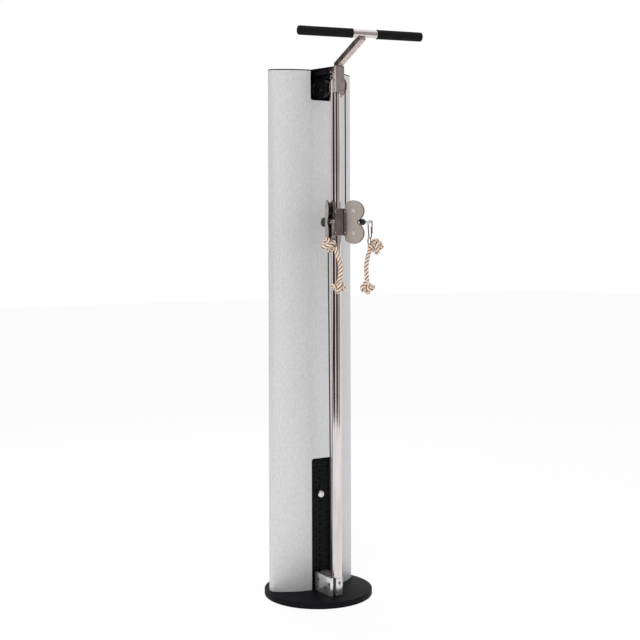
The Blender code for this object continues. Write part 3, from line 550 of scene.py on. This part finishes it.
def finished(obj, name, finish, body, replaced=(), bevel=0.0, segments=3, smooth=32):
    """Applies the place, rounds the edges, shades, and hands the piece to its body."""
    obj.name = name
    apply_place(obj)
    if bevel:
        bevelled(obj, bevel, segments)
    only(obj)
    bpy.ops.object.shade_smooth_by_angle(angle=math.radians(smooth))
    if not obj.data.materials:
        obj.data.materials.append(finish)
    if replaced:
        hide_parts(*replaced)
    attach(obj, body)
    return obj


def ring_of_edges(points):
    """A closed line of edges through the points."""
    bpy.ops.mesh.primitive_circle_add(vertices=len(points), radius=0.1, fill_type="NOTHING")
    obj = bpy.context.object
    for vertex, point in zip(obj.data.vertices, points):
        vertex.co = point
    return obj


def plate(outline, low, high, matrix=Matrix()):
    """A flat piece whose edge is the outline, from low to high, then set in place by the matrix."""
    obj = ring_of_edges([(x, y, low) for x, y in outline])
    open_mesh()
    bpy.ops.mesh.edge_face_add()
    bpy.ops.mesh.extrude_region_move(TRANSFORM_OT_translate={"value": (0, 0, high - low)})
    close_mesh()
    obj.data.transform(matrix)
    return obj


def turned(profile, at=(0, 0, 0), axis=(0, 0, 1), steps=64):
    """A solid turned about an axis from its profile of (radius, height) points."""
    obj = ring_of_edges([(r, 0, h) for r, h in profile])
    open_mesh()
    bpy.ops.mesh.spin(steps=steps, angle=math.tau, center=(0, 0, 0), axis=(0, 0, 1))
    bpy.ops.mesh.select_all(action="SELECT")
    bpy.ops.mesh.remove_doubles(threshold=0.00001)
    bpy.ops.mesh.delete_loose()
    close_mesh()
    turn = Vector(axis).to_track_quat("Z", "X").to_matrix().to_4x4()
    obj.data.transform(Matrix.Translation(at) @ turn)
    return obj


def disc(radius, low, high, edge=0.0):
    """The profile of a solid cylinder, its rims rounded by edge."""
    if not edge:
        return [(0, low), (radius, low), (radius, high), (0, high)]
    rim = [(radius - edge + edge * math.sin(a), low + edge - edge * math.cos(a))
           for a in (math.radians(22.5 * i) for i in range(5))]
    top = [(r, low + high - h) for r, h in reversed(rim)]
    return [(0, low)] + rim + top + [(0, high)]


def sleeve(inner, outer, low, high, edge=0.0006):
    """The profile of a tube's wall."""
    return [(inner, low), (outer - edge, low), (outer, low + edge), (outer, high - edge),
            (outer - edge, high), (inner, high)]


def box(low, high, matrix=Matrix()):
    low, high = Vector(low), Vector(high)
    bpy.ops.mesh.primitive_cube_add(size=1, location=(low + high) / 2)
    obj = bpy.context.object
    obj.scale = high - low
    apply_place(obj)
    obj.data.transform(matrix)
    return obj


def rod(start, end, radius, steps=32):
    start, end = Vector(start), Vector(end)
    return turned(disc(radius, 0, (end - start).length), start, end - start, steps)


def joined(*objs):
    bpy.ops.object.select_all(action="DESELECT")
    for obj in objs:
        obj.select_set(True)
    bpy.context.view_layer.objects.active = objs[0]
    bpy.ops.object.join()
    return objs[0]


def swept(paths, radius, resolution=6, closed=False):
    """Round tubes along the paths, in one mesh."""
    curve = bpy.data.curves.new("swept", "CURVE")
    curve.dimensions = "3D"
    curve.bevel_depth = radius
    curve.bevel_resolution = resolution
    curve.use_fill_caps = not closed
    for points in paths:
        line = curve.splines.new("POLY")
        line.points.add(len(points) - 1)
        for point, spot in zip(line.points, points):
            point.co = (*spot, 1)
        line.use_cyclic_u = closed
    obj = bpy.data.objects.new("swept", curve)
    bpy.context.scene.collection.objects.link(obj)
    only(obj)
    bpy.ops.object.convert(target="MESH")
    obj = bpy.context.object
    open_mesh()
    bpy.ops.mesh.remove_doubles(threshold=0.000005)
    close_mesh()
    return obj


def arc(center, radius, start, end, count):
    step = (end - start) / (count - 1)
    return [(center[0] + radius * math.cos(math.radians(start + step * i)),
             center[1] + radius * math.sin(math.radians(start + step * i))) for i in range(count)]


def bow_y(x, inset=0.0):
    radius = BOW_RADIUS - inset
    return BOW_FRONT_Y + BOW_RADIUS - math.sqrt(radius ** 2 - x ** 2)


def wrap_side(inset):
    """Right half of the wrap's plan, from the middle of the front round to the back flange's end."""
    lean = math.asin(BOW_HALF / BOW_RADIUS)
    corner = (BOW_HALF - CORNER_RADIUS * math.sin(lean), bow_y(BOW_HALF) + CORNER_RADIUS * math.cos(lean))
    end_x = corner[0] + (CORNER_RADIUS - inset) * math.sin(lean)
    bow = [(end_x * i / 36, bow_y(end_x * i / 36, inset)) for i in range(36)]
    turn = arc(corner, CORNER_RADIUS - inset, math.degrees(lean) - 90, 90, 16)
    return bow + turn + [(BACK_OPENING_HALF, corner[1] + CORNER_RADIUS - inset)]


def mirrored(points):
    return [(-x, y) for x, y in reversed(points)]


def both_sides(points):
    """A whole plan from its right half."""
    return list(points) + mirrored(points)


def window_cutter(low, high, open_top):
    """A block in a window's shape; the end that runs out of the sheet stays square."""
    inner = WINDOW_HALF - WINDOW_CORNER
    side, start = (-1, 180) if open_top else (1, 0)
    row, square = (low + WINDOW_CORNER, high) if open_top else (high - WINDOW_CORNER, low)
    corners = arc((side * inner, row), WINDOW_CORNER, start, start + 90, 7)
    corners += arc((-side * inner, row), WINDOW_CORNER, start + 90, start + 180, 7)
    corners += [(-side * WINDOW_HALF, square), (side * WINDOW_HALF, square)]
    return plate(corners, *CUTTER_REACH, Matrix.Rotation(math.radians(90), 4, "X"))


def inside_front(face):
    """Whether a face of the wrap looks inward from behind its bowed front."""
    away = Vector((face.center.x, face.center.y, 0)) - Vector((0, BOW_FRONT_Y + BOW_RADIUS, 0))
    level = Vector((face.normal.x, face.normal.y, 0))
    return level.length > 0.9 and level.dot(away.normalized()) < -0.5 and face.center.y < SHADE_BACK_Y


def cabinet(finish):
    """One brushed sheet wrapped round the front and both sides, with its two windows cut out."""
    outer, inner = wrap_side(0.0), wrap_side(SHEET)
    outline = mirrored(outer)[:-1] + outer + inner[::-1] + mirrored(inner)[::-1][1:]
    wrap = plate(outline, CABINET_LOW, CABINET_TOP)
    wrap.data.materials.append(finish["brushed"])
    wrap.data.materials.append(finish["inner_shade"])
    lower = window_cutter(CABINET_LOW - PAST, LOW_WINDOW_TOP, False)
    upper = window_cutter(HIGH_WINDOW_BOTTOM, CABINET_TOP + PAST, True)
    bevelled(bored(wrap, lower, upper), 0.0007, 2, 50)
    # the inside faces behind the front are painted black as shade inside the cabinet
    for face in wrap.data.polygons:
        if inside_front(face):
            face.material_index = 1
    finished(wrap, "cabinet_wrap", None, "base",
             ("cabinet_left_shell", "cabinet_right_shell", "cabinet_front_strip"), smooth=25)
    finished(box(*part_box("cabinet_back_panel")), "back_panel", finish["black"], "base",
             ("cabinet_back_panel",), bevel=0.0006)
    side = [(x, y) for x, y in wrap_side(0.0) if x > WINDOW_HALF][:-1]
    edge = [(HEAD_HALF, HEAD_BACK + GAP), (WINDOW_HALF, bow_y(WINDOW_HALF))] + side
    lid = plate(mirrored(edge) + edge, CABINET_TOP + GAP, HEAD_TOP)
    finished(lid, "top_lid", finish["black"], "base", ("cabinet_lid",), bevel=0.0012)
    finished(box(*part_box("bridge_beam")), "bridge", finish["black"], "base", ("bridge_beam",), bevel=0.001)


def base_disc(finish):
    foot = turned(disc(DISC_RADIUS, 0, DISC_HEIGHT, DISC_EDGE), steps=160)
    finished(foot, "floor_disc", finish["black"], "base", ("base_disc",), smooth=40)


def grooved(run, flange, half, dish=0.0):
    """The profile of a pulley: rounded flanges, a groove for the cable, and a dished web."""
    floor = run - CABLE_RADIUS - GAP
    groove = min(CABLE_RADIUS + 0.0006, half * 0.6)
    edge = min(0.0012, (half - groove) * 0.4)
    hub, rim = WHEEL_BORE + 0.005, floor - 0.004
    web = []
    if dish:
        web = [(hub, half), (hub + dish, half - dish), (rim - dish, half - dish), (rim, half)]
    side = [(WHEEL_BORE, half)] + web
    side += [(flange - edge, half), (flange - edge * 0.3, half - edge * 0.3), (flange, half - edge)]
    side += [(flange, groove + 0.0008), (floor + 0.001, groove * 0.85), (floor, groove * 0.4)]
    return side + [(r, -h) for r, h in reversed(side)]


def wheel_plane():
    return Vector((SWIVEL_X, SWIVEL_Y - STACK_Y, 0)).normalized()


def wheel_centers():
    forward = wheel_plane()
    head = Vector((SWIVEL_X, SWIVEL_Y, WHEEL_Z)) - forward * WHEEL_RUN
    return head, Vector((0, STACK_Y, WHEEL_Z)) + forward * WHEEL_RUN


def screw_head(at, axis, size, finish, body, name):
    """A low round screw head with a slot, standing on its face along the axis."""
    radius, height = size
    head = turned(disc(radius, 0, height, min(0.0007, height * 0.45)), steps=36)
    bored(head, box((-radius * 1.2, -radius * 0.13, height * 0.45), (radius * 1.2, radius * 0.13, height * 2)))
    turn = Vector(axis).to_track_quat("Z", "Y").to_matrix().to_4x4()
    tilt = Matrix.Rotation(math.radians(SLOT_TURN), 4, "Z")
    head.data.transform(Matrix.Translation(at) @ turn @ tilt)
    finished(head, name, finish, body)


def rail_and_head(finish):
    rail = turned(disc(RAIL_RADIUS, RAIL_LOW, RAIL_TOP, 0.0012), (0, RAIL_Y, 0), steps=128)
    finished(rail, "round_rail", finish["rail"], "base", ("rail",), smooth=40)
    clamp = box((-HEAD_HALF, HEAD_FRONT, HEAD_CLAMP_LOW), (HEAD_HALF, HEAD_BACK, RAIL_TOP))
    bored(clamp, rod((0, RAIL_Y, HEAD_CLAMP_LOW - PAST), (0, RAIL_Y, RAIL_TOP + PAST), RAIL_RADIUS + GAP, 96))
    finished(clamp, "rail_clamp", finish["steel"], "base", ("head_clamp",), bevel=0.001)
    cap = box((-HEAD_HALF, HEAD_FRONT, RAIL_TOP + GAP), (HEAD_HALF, HEAD_BACK, HEAD_TOP))
    tail = box((-HEAD_HALF, HEAD_BACK - CAP_TAIL_LAP, CABINET_TOP - CAP_TAIL_HEIGHT),
               (HEAD_HALF, CAP_TAIL_END, CABINET_TOP))
    bored(cap, tail, operation="UNION")
    finished(cap, "rail_cap", finish["steel"], "base", ("head_cap",), bevel=0.0012)
    for name, y, z in HEAD_SCREWS:
        screw_head((-HEAD_HALF, y, z), (-1, 0, 0), HEAD_SCREW, finish["chrome"], "base", name)
    across = UP.cross(wheel_plane())
    for name, at, slot in zip(("head", "inner"), wheel_centers(), ("steel", "nylon")):
        wheel = turned(grooved(WHEEL_RUN, WHEEL_FLANGE, WHEEL_HALF, WHEEL_DISH), at, across, 96)
        finished(wheel, name + "_guide_wheel", finish[slot], name + "_wheel_body", (name + "_wheel",))


def t_bar(finish):
    along = Vector((math.cos(math.radians(BAR_TURN)), math.sin(math.radians(BAR_TURN)), 0))
    ends = {1: BAR_MIDDLE - along * BAR_LENGTH / 2, -1: BAR_MIDDLE + along * BAR_LENGTH / 2}
    tube = turned(disc(BAR_RADIUS, BAR_INSET, BAR_LENGTH - BAR_INSET, 0.001), ends[1], along, 96)
    finished(tube, "cross_tube", finish["rail"], "bar", ("bar_tube",), smooth=40)
    wall = BAR_RADIUS + GAP
    for name, length, sign in GRIPS:
        nose = [(GRIP_RADIUS - GRIP_ROUND + GRIP_ROUND * math.sin(a), GRIP_ROUND - GRIP_ROUND * math.cos(a))
                for a in (math.radians(15 * i) for i in range(7))]
        lip = [(GRIP_RADIUS + out, length - back) for out, back in GRIP_LIP]
        bore = [(wall, length), (wall, GRIP_FLOOR), (0, GRIP_FLOOR)]
        grip = turned([(0, 0)] + nose + lip + bore, ends[sign], along * sign, 72)
        finished(grip, name + "_foam_grip", finish["foam"], "bar", (name + "_grip",), smooth=50)


def uprights(finish):
    """The foot: two polished uprights with the lower cable's wheel between them."""
    low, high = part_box("foot_plate")
    finished(box(low, high), "foot_left_plate", finish["mottled"], "base", ("foot_plate",), bevel=0.0012)
    for number, (y, z) in enumerate(FOOT_SCREWS):
        # the foot's screw heads are painted near-black as the shade of their holes
        screw_head((low.x, y, z), (-1, 0, 0), FOOT_SCREW, finish["hole"], "base", f"foot_screw_{number}")
    left, right = FOOT_BLOCK_X
    block = box((left, FOOT_FRONT, CABINET_LOW), (right, FOOT_BACK, FOOT_TOP))
    bore = [(FOOT_BORE_X, y, FOOT_BORE_Z) for y in (FOOT_FRONT - PAST, FOOT_FRONT + FOOT_BORE_DEPTH)]
    bored(block, rod(*bore, FOOT_BORE_RADIUS))
    axle = [(x, FOOT_WHEEL.y, FOOT_WHEEL.z) for x in FOOT_AXLE_X]
    bored(block, rod(*axle, AXLE_RADIUS), operation="UNION")
    finished(block, "foot_right_block", finish["mottled"], "base", ("foot_block",), bevel=0.001)
    wheel = turned(grooved(FOOT_RUN, FOOT_FLANGE, FOOT_WHEEL_HALF), FOOT_WHEEL, (1, 0, 0), 72)
    finished(wheel, "foot_guide_wheel", finish["nylon"], "foot_wheel_body", ("foot_wheel",))


def stack_plate(name, index, height, body, replaced, finish):
    """One weight plate: stepped front, bores for the guide rods and the stem, and its pin's hole."""
    low = STACK_BOTTOM + index * PLATE_PITCH
    weight = plate(both_sides(PLATE_PLAN), low, low + height)
    for x, radius in ((-ROD_X, ROD_BORE), (ROD_X, ROD_BORE), (0, STEM_BORE)):
        bored(weight, rod((x, STACK_Y, low - PAST), (x, STACK_Y, low + height + PAST), radius, 40))
    if index < PLATE_COUNT:
        z = low + height / 2
        bored(weight, rod((0, PIN_BORE_START_Y, z), (0, STACK_Y, z), PIN_BORE, 28))
    finished(weight, name, finish["iron"], body, replaced, bevel=0.0016, segments=2)


def stack(finish):
    height = PLATE_PITCH - PLATE_SEAM
    for index in range(RESTING_COUNT):
        replaced = ("resting_plates",) if index == 0 else ()
        stack_plate(f"resting_plate_{index + 1:02d}", index, height, "base", replaced, finish)
    cushion = plate(both_sides(CUSHION_PLAN), CABINET_LOW, STACK_BOTTOM - 0.0002)
    finished(cushion, "stack_cushion", finish["nylon"], "base", bevel=0.001)
    for index in range(RESTING_COUNT, PLATE_COUNT):
        node = f"weight_plate_{index + 1}"
        stack_plate(f"lifted_plate_{index + 1:02d}", index, height, "lifted_stack", (node,), finish)
    stack_plate("header_plate", PLATE_COUNT, TOP_PLATE_HEIGHT, "lifted_stack", ("top_plate",), finish)
    stem = turned(disc(STEM_RADIUS, STACK_BOTTOM + 0.002, STEM_TOP, 0.0015), (0, STACK_Y, 0), steps=48)
    bored(stem, rod(*[(0, y, PIN_Z) for y in STEM_HOLE_Y], PIN_BORE, 28))
    finished(stem, "stem", finish["chrome"], "lifted_stack", ("selector_stem",))
    pin_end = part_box("selector_pin")[1].y
    face = STACK_FRONT - GAP
    head = turned(PIN_KNOB, (0, face, PIN_Z), (0, -1, 0), 56)
    shank = rod((0, face - 0.001, PIN_Z), (0, pin_end, PIN_Z), PIN_RADIUS, 28)
    finished(joined(head, shank), "pin_with_knob", finish["chrome"], "pin", ("selector_pin",))
    for name, x in (("left", -ROD_X), ("right", ROD_X)):
        guide = turned(disc(ROD_RADIUS, CABINET_LOW, ROD_TOP, 0.001), (x, STACK_Y, 0), steps=48)
        finished(guide, name + "_guide", finish["steel"], "base", (f"guide_rod_{name}",), smooth=40)


def unit_matrix(side, degrees_turn):
    """From a unit's own axes (outward, up, across) to the world."""
    angle = math.radians(degrees_turn)
    outward = Vector((math.cos(angle), math.sin(angle), 0))
    matrix = Matrix((outward, UP, outward.cross(UP))).transposed().to_4x4()
    matrix.translation = (side * SWIVEL_X, SWIVEL_Y, CARRIAGE_Z)
    return matrix


def swivel_ear(body, x, root, z):
    """Adds one bored ear, with the arm that holds it, to the sleeve."""
    eye = plate(arc((0, 0), EAR_RADIUS, 0, 345, 24), 0, EAR_HEIGHT, Matrix.Translation((x, SWIVEL_Y, z)))
    arm = box((min(root, x), SWIVEL_Y - EAR_RADIUS, z + ARM_INSET),
              (max(root, x), SWIVEL_Y + ARM_BACK, z + EAR_HEIGHT - ARM_INSET))
    bored(body, arm, eye, operation="UNION")
    bored(body, rod((x, SWIVEL_Y, z - PAST), (x, SWIVEL_Y, z + PAST), EAR_BORE, 24))


def carriage(finish):
    low, high = CARRIAGE_Z - SLEEVE_HEIGHT / 2, CARRIAGE_Z + SLEEVE_HEIGHT / 2
    front = RAIL_Y - SLEEVE_HALF
    body = box((-SLEEVE_HALF, front, low), (SLEEVE_HALF, RAIL_Y + SLEEVE_HALF, high))
    bored(body, rod((0, RAIL_Y, low - PAST), (0, RAIL_Y, high + PAST), RAIL_RADIUS + SLEEVE_PLAY, 96))
    bevelled(body, 0.0025, 4)
    for side in (-1, 1):
        for level in EAR_LEVELS:
            swivel_ear(body, side * SWIVEL_X, side * (SLEEVE_HALF - ARM_ROOT), CARRIAGE_Z + level)
    finished(body, "carriage_sleeve", finish["umber"], "carriage_body", ("carriage",), bevel=0.0004, segments=2)
    for name, x in (("left", -HINGE_X), ("right", HINGE_X)):
        hinge = box((x - HINGE_HALF, front - HINGE_PROUD, CARRIAGE_Z - HINGE_RISE),
                    (x + HINGE_HALF, front + 0.0002, CARRIAGE_Z + HINGE_RISE))
        finished(hinge, name + "_hinge_plate", finish["umber"], "carriage_body", bevel=0.0008)
        for number, rise in enumerate((-HINGE_BOLT_RISE, HINGE_BOLT_RISE)):
            screw_head((x, front - HINGE_PROUD, CARRIAGE_Z + rise), (0, -1, 0), HINGE_BOLT, finish["chrome"],
                       "carriage_body", f"{name}_hinge_bolt_{number}")
    wheel = turned(KNOB_PROFILE, (KNOB_X, KNOB_Y, CARRIAGE_Z), (-1, 0, 0), 60)
    stem = rod((KNOB_STEM_X, KNOB_Y, CARRIAGE_Z), (-SLEEVE_HALF - GAP, KNOB_Y, CARRIAGE_Z), KNOB_STEM_RADIUS)
    finished(joined(wheel, stem), "hand_knob", finish["nylon"], "knob", ("clamp_knob",))


def cheek_outline():
    """B-shaped: outward from the swivel axis, and up from the middle. Its lobes meet in a notch."""
    reach = math.hypot(NOTCH_DEPTH, LOBE_RISE)
    tangent = (math.degrees(math.atan2(LOBE_RISE, -NOTCH_DEPTH))
               - math.degrees(math.asin(LOBE_RADIUS / reach)) - 90)
    edge = math.degrees(math.acos(-PULLEY_RUN / LOBE_RADIUS))
    upper = arc((PULLEY_RUN, LOBE_RISE), LOBE_RADIUS, tangent, edge, 40)
    return [(PULLEY_RUN + NOTCH_DEPTH, 0)] + upper + [(x, -y) for x, y in reversed(upper)]


def pulley_unit(name, side, degrees_turn, cable_from, finish):
    matrix = unit_matrix(side, degrees_turn)
    across = matrix.to_3x3() @ Vector((0, 0, 1))
    body = name + "_unit"
    outer = CHEEK_INNER + CHEEK_THICKNESS
    for label, sign, low, high in (("front", 1, CHEEK_INNER, outer), ("back", -1, -outer, -CHEEK_INNER)):
        cheek = bevelled(plate(cheek_outline(), low, high, matrix), CHEEK_EDGE)
        cheek.data.materials.append(finish["satin"])
        cheek.data.materials.append(finish["iron"])
        # the rims and rounded edges take black iron: painted shade for the shadowed gap between the cheeks
        for face in cheek.data.polygons:
            face.material_index = 0 if abs(face.normal.dot(across)) > 0.95 else 1
        finished(cheek, f"{name}_{label}_plate", None, body, (f"{name}_{label}_cheek",), smooth=50)
        for level, rise in LEVELS:
            at = matrix @ Vector((PULLEY_RUN, rise, sign * outer))
            screw_head(at, across * sign, CHEEK_SCREW, finish["screw"], body, f"{name}_{label}_{level}_screw")
    for level, rise in LEVELS:
        at = matrix @ Vector((PULLEY_RUN, rise, 0))
        wheel = turned(grooved(PULLEY_RUN, PULLEY_FLANGE, PULLEY_HALF, PULLEY_DISH), at, across, 80)
        finished(wheel, f"{name}_{level}_sheave", finish["nylon"], f"{name}_{level}_wheel",
                 (f"{name}_{level}_pulley",))
        ends = [matrix @ Vector((PULLEY_RUN, rise, z)) for z in (-SPINDLE_HALF, SPINDLE_HALF)]
        finished(rod(*ends, AXLE_RADIUS), f"{name}_{level}_spindle", finish["steel"], body)
    barrel = turned(disc(BARREL_RADIUS, -BARREL_HALF, BARREL_HALF, 0.001), matrix.translation, steps=48)
    near, far = BARREL_WEB
    web = box((*near, -CHEEK_INNER + GAP), (*far, CHEEK_INNER - GAP), matrix)
    bored(barrel, web, operation="UNION")
    finished(barrel, name + "_pivot_barrel", finish["steel"], body, (name + "_swivel",), bevel=0.0005)
    end_of_cable(name, matrix, cable_from, finish)


def end_of_cable(name, matrix, cable_from, finish):
    """The cable round its pulley, the rubber ball that stops it, and the clevis at its end."""
    body = name + "_unit"
    ball_at = matrix @ Vector((BALL_REACH, 0, 0))
    outward = matrix.to_3x3() @ Vector((1, 0, 0))
    bend = arc((PULLEY_RUN, cable_from * LOBE_RISE), PULLEY_RUN, 180, 180 + cable_from * 90, 25)
    path = [matrix @ Vector((x, y, 0)) for x, y in bend] + [ball_at]
    finished(swept([path], CABLE_RADIUS), name + "_cable_end", finish["cable"], body)
    half = [(BALL_RADIUS * math.sin(math.radians(a)), -BALL_RADIUS * math.cos(math.radians(a)))
            for a in range(0, 181, 6)]
    ball = turned(half, ball_at, outward, 64)
    finished(ball, name + "_rubber_ball", finish["nylon"], body, (name + "_ball_stop",), smooth=60)
    collar = turned(sleeve(*COLLAR), ball_at, outward, 40)
    finished(collar, name + "_clevis_collar", finish["chrome"], body)
    near, far = CLEVIS_SIDES
    start = BALL_REACH + CLEVIS_START
    plan = [(start, CLEVIS_HALF), (start, -CLEVIS_HALF)] + arc((HOOK_REACH, 0), CLEVIS_HALF, -90, 90, 13)
    fork, lug = [plate(plan, low, high, matrix) for low, high in ((-far, -near), (near, far))]
    bridge_start, bridge_end = (BALL_REACH + x for x in CLEVIS_BRIDGE)
    bridge = box((bridge_start, -CLEVIS_HALF, -far), (bridge_end, CLEVIS_HALF, far), matrix)
    bored(fork, lug, bridge, operation="UNION")
    finished(fork, name + "_clevis", finish["chrome"], body, bevel=0.0006)
    ends = [matrix @ Vector((HOOK_REACH, 0, z)) for z in (-CLEVIS_PIN_HALF, CLEVIS_PIN_HALF)]
    finished(rod(*ends, CLEVIS_PIN_RADIUS), name + "_clevis_pin", finish["steel"], body, bevel=0.0004)


def smooth_route(points):
    """Points of a Catmull-Rom curve through the route's own points."""
    padded = [points[0] * 2 - points[1]] + points + [points[-1] * 2 - points[-2]]
    spans = len(points) - 1
    result = []
    for step in range(ROUTE_STEPS + 1):
        at = min(step / ROUTE_STEPS * spans, spans - 1e-9)
        i, t = int(at), at - int(at)
        a, b, c, d = padded[i:i + 4]
        result.append(0.5 * (2 * b + (c - a) * t + (2 * a - 5 * b + 4 * c - d) * t ** 2
                             + (3 * b - a - 3 * c + d) * t ** 3))
    return result


def mark_depth(obj, path):
    """Writes each point's distance from the rope's centreline, as a share of the rope's radius, which places the
    rope's painted groove shade.
    """
    nearest = KDTree(len(path))
    for number, point in enumerate(path):
        nearest.insert(point, number)
    nearest.balance()
    depth = obj.data.attributes.new(LAY_DEPTH, "FLOAT", "POINT")
    for vertex in obj.data.vertices:
        depth.data[vertex.index].value = nearest.find(vertex.co)[2] / ROPE_RADIUS


def laid_strands(points, phase):
    """The paths of the strands laid round a rope's centreline, one turn in every pitch."""
    offset = ROPE_RADIUS * STRAND_OFFSET
    normal = None
    travelled = 0.0
    paths = [[] for _ in range(STRANDS)]
    for i, point in enumerate(points):
        tangent = (points[min(i + 1, len(points) - 1)] - points[max(i - 1, 0)]).normalized()
        if normal is None:
            normal = tangent.orthogonal().normalized()
        normal = (normal - tangent * normal.dot(tangent)).normalized()
        if i:
            travelled += (point - points[i - 1]).length
        binormal = tangent.cross(normal)
        for k, path in enumerate(paths):
            a = math.tau * (travelled / LAY_PITCH + k / STRANDS) + phase
            path.append(point + normal * math.cos(a) * offset + binormal * math.sin(a) * offset)
    return paths


def laid_rope(path, phase=0.0):
    """Rope along a centreline, its strands modelled and the depth of their grooves marked for the painted shade."""
    rope = swept(laid_strands(path, phase), ROPE_RADIUS * STRAND_RADIUS, 5)
    mark_depth(rope, path)
    return rope


def overhand(center, wide, tall, turn, lean):
    """The centreline of a tightened overhand knot: three crossing lobes, open where the rope comes in."""
    across, rise = wide - ROPE_RADIUS, tall - ROPE_RADIUS
    depth = min(wide, tall) * 0.95 - ROPE_RADIUS
    tipped = Matrix.Rotation(math.radians(lean), 3, "X")
    a = math.radians(turn)
    points = []
    for i in range(KNOT_STEPS + 1):
        t = math.tau * (i / KNOT_STEPS * 0.97 + 0.015)
        flat = Vector(((math.sin(t) + 2 * math.sin(2 * t)) / 2.55, -math.sin(3 * t) * 0.85,
                       (math.cos(t) - 2 * math.cos(2 * t)) / 2.75))
        x, y, z = tipped @ flat
        x, z = x * math.cos(a) - z * math.sin(a), x * math.sin(a) + z * math.cos(a)
        points.append(center + VIEW_RIGHT * x * across + VIEW_FRONT * y * depth + UP * z * rise)
    return points


def handle(name, side, degrees_turn, finish):
    """Snap hook, ring and rope. The rope is tied to the ring and ends in a second knot."""
    body = name + "_handle"
    rope = ROPES[name]
    matrix = unit_matrix(side, degrees_turn)
    pin_at = matrix @ Vector((HOOK_REACH, 0, 0))

    def spot(across, height):
        flat = pin_at + VIEW_RIGHT * across
        return Vector((flat.x, flat.y, height))

    centreline = smooth_route([spot(*place) for place in rope["route"]])
    lay = finished(laid_rope(centreline), name + "_rope", finish["rope"], body, (name + "_handle_rope",), smooth=60)
    for level in ("upper", "lower"):
        across, height, *shape = rope[level]
        tied = laid_rope(overhand(spot(across, height), *shape), KNOT_PHASE)
        finished(tied, f"{name}_{level}_tied_knot", finish["rope"], body,
                              (f"{name}_handle_{level}_knot",), smooth=60)
    ring_side = Matrix.Rotation(math.radians(RING_TURN), 3, "Z") @ VIEW_RIGHT
    ring_at = spot(*rope["ring"])
    ring = [ring_at + ring_side * math.cos(a) * RING_RADIUS + UP * math.sin(a) * RING_RADIUS
            for a in (math.tau * i / 48 for i in range(48))]
    loop = arc((HOOK_REACH, HOOK_TOP - HOOK_WIDE), HOOK_WIDE, 180, 0, 25)
    loop += arc((HOOK_REACH, HOOK_TOP - HOOK_LENGTH + HOOK_NARROW), HOOK_NARROW, 0, -180, 19)
    wire = [matrix @ Vector((x, y, 0)) for x, y in loop]
    for label, path, replaced in (("_rope_ring", ring, ()), ("_hook_wire", wire, (name + "_handle_snap_hook",))):
        bent = swept([path], WIRE_RADIUS, 8, closed=True)
        finished(bent, name + label, finish["steel"], body, replaced, smooth=60)
    gate_top, gate_low = (matrix @ Vector((HOOK_REACH + GATE_X, y, 0)) for y in GATE_SPAN)
    along = gate_top - gate_low
    gate = turned(sleeve(*GATE_RADII, 0, along.length), gate_low, along, 36)
    finished(gate, name + "_hook_gate", finish["steel"], body)


def cables(finish):
    """The cables round the top wheels and under the foot wheel, held by the base, and three straight runs between
    the wheels and the carriage or the stack, which no body holds.
    """
    forward = wheel_plane()
    over = []
    for center, start in zip(wheel_centers(), (0, 90)):
        over += [center + (forward * math.cos(a) + UP * math.sin(a)) * WHEEL_RUN
                 for a in (math.radians(start + 3 * i) for i in range(31))]
    finished(swept([over], CABLE_RADIUS), "cable_over_wheels", finish["cable"], "base", ("top_cable",))
    under = [FOOT_WHEEL + Vector((0, y, z)) for y, z in arc((0, 0), FOOT_RUN, 180, 270, 25)]
    under.append(Vector((FOOT_WHEEL.x, STACK_FRONT + 0.0015 - GAP, FOOT_WHEEL.z - FOOT_RUN)))
    finished(swept([under], CABLE_RADIUS), "cable_under_wheel", finish["cable"], "base", ("foot_cable",))
    runs = (
        ("upper_run", "upper_cable", "carriage_body", Vector((SWIVEL_X, SWIVEL_Y, WHEEL_Z - GAP)),
         Vector((SWIVEL_X, SWIVEL_Y, CARRIAGE_Z + LOBE_RISE + GAP))),
        ("lower_run", "lower_cable", "carriage_body", Vector((FOOT_WHEEL.x, FOOT_CABLE_Y, FOOT_WHEEL.z + GAP)),
         Vector((-SWIVEL_X, SWIVEL_Y, CARRIAGE_Z - LOBE_RISE - GAP))),
        ("stack_run", "stack_cable", "lifted_stack", Vector((0, STACK_Y, WHEEL_Z - GAP)),
         Vector((0, STACK_Y, STEM_TOP + GAP))),
    )
    for name, node, moving, fixed_end, moving_end in runs:
        run = swept([[fixed_end, moving_end]], CABLE_RADIUS)
        run.name = name
        only(run)
        bpy.ops.object.shade_smooth_by_angle(angle=math.radians(40))
        run.data.materials.append(finish["cable"])
        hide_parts(node)
        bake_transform(run)


def kept_nodes(finish):
    """Nodes whose shape stays as it is get their finish here."""
    for name, slot in KEPT_NODES:
        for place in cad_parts[name].material_slots:
            place.material = finish[slot]


finish = finishes()
camera_and_light()
studio()
cards()
base_disc(finish)
cabinet(finish)
rail_and_head(finish)
t_bar(finish)
uprights(finish)
stack(finish)
carriage(finish)
for unit_name, unit_side, unit_turn, unit_cable in UNITS:
    pulley_unit(unit_name, unit_side, unit_turn, unit_cable, finish)
    handle(unit_name, unit_side, unit_turn, finish)
cables(finish)
kept_nodes(finish)
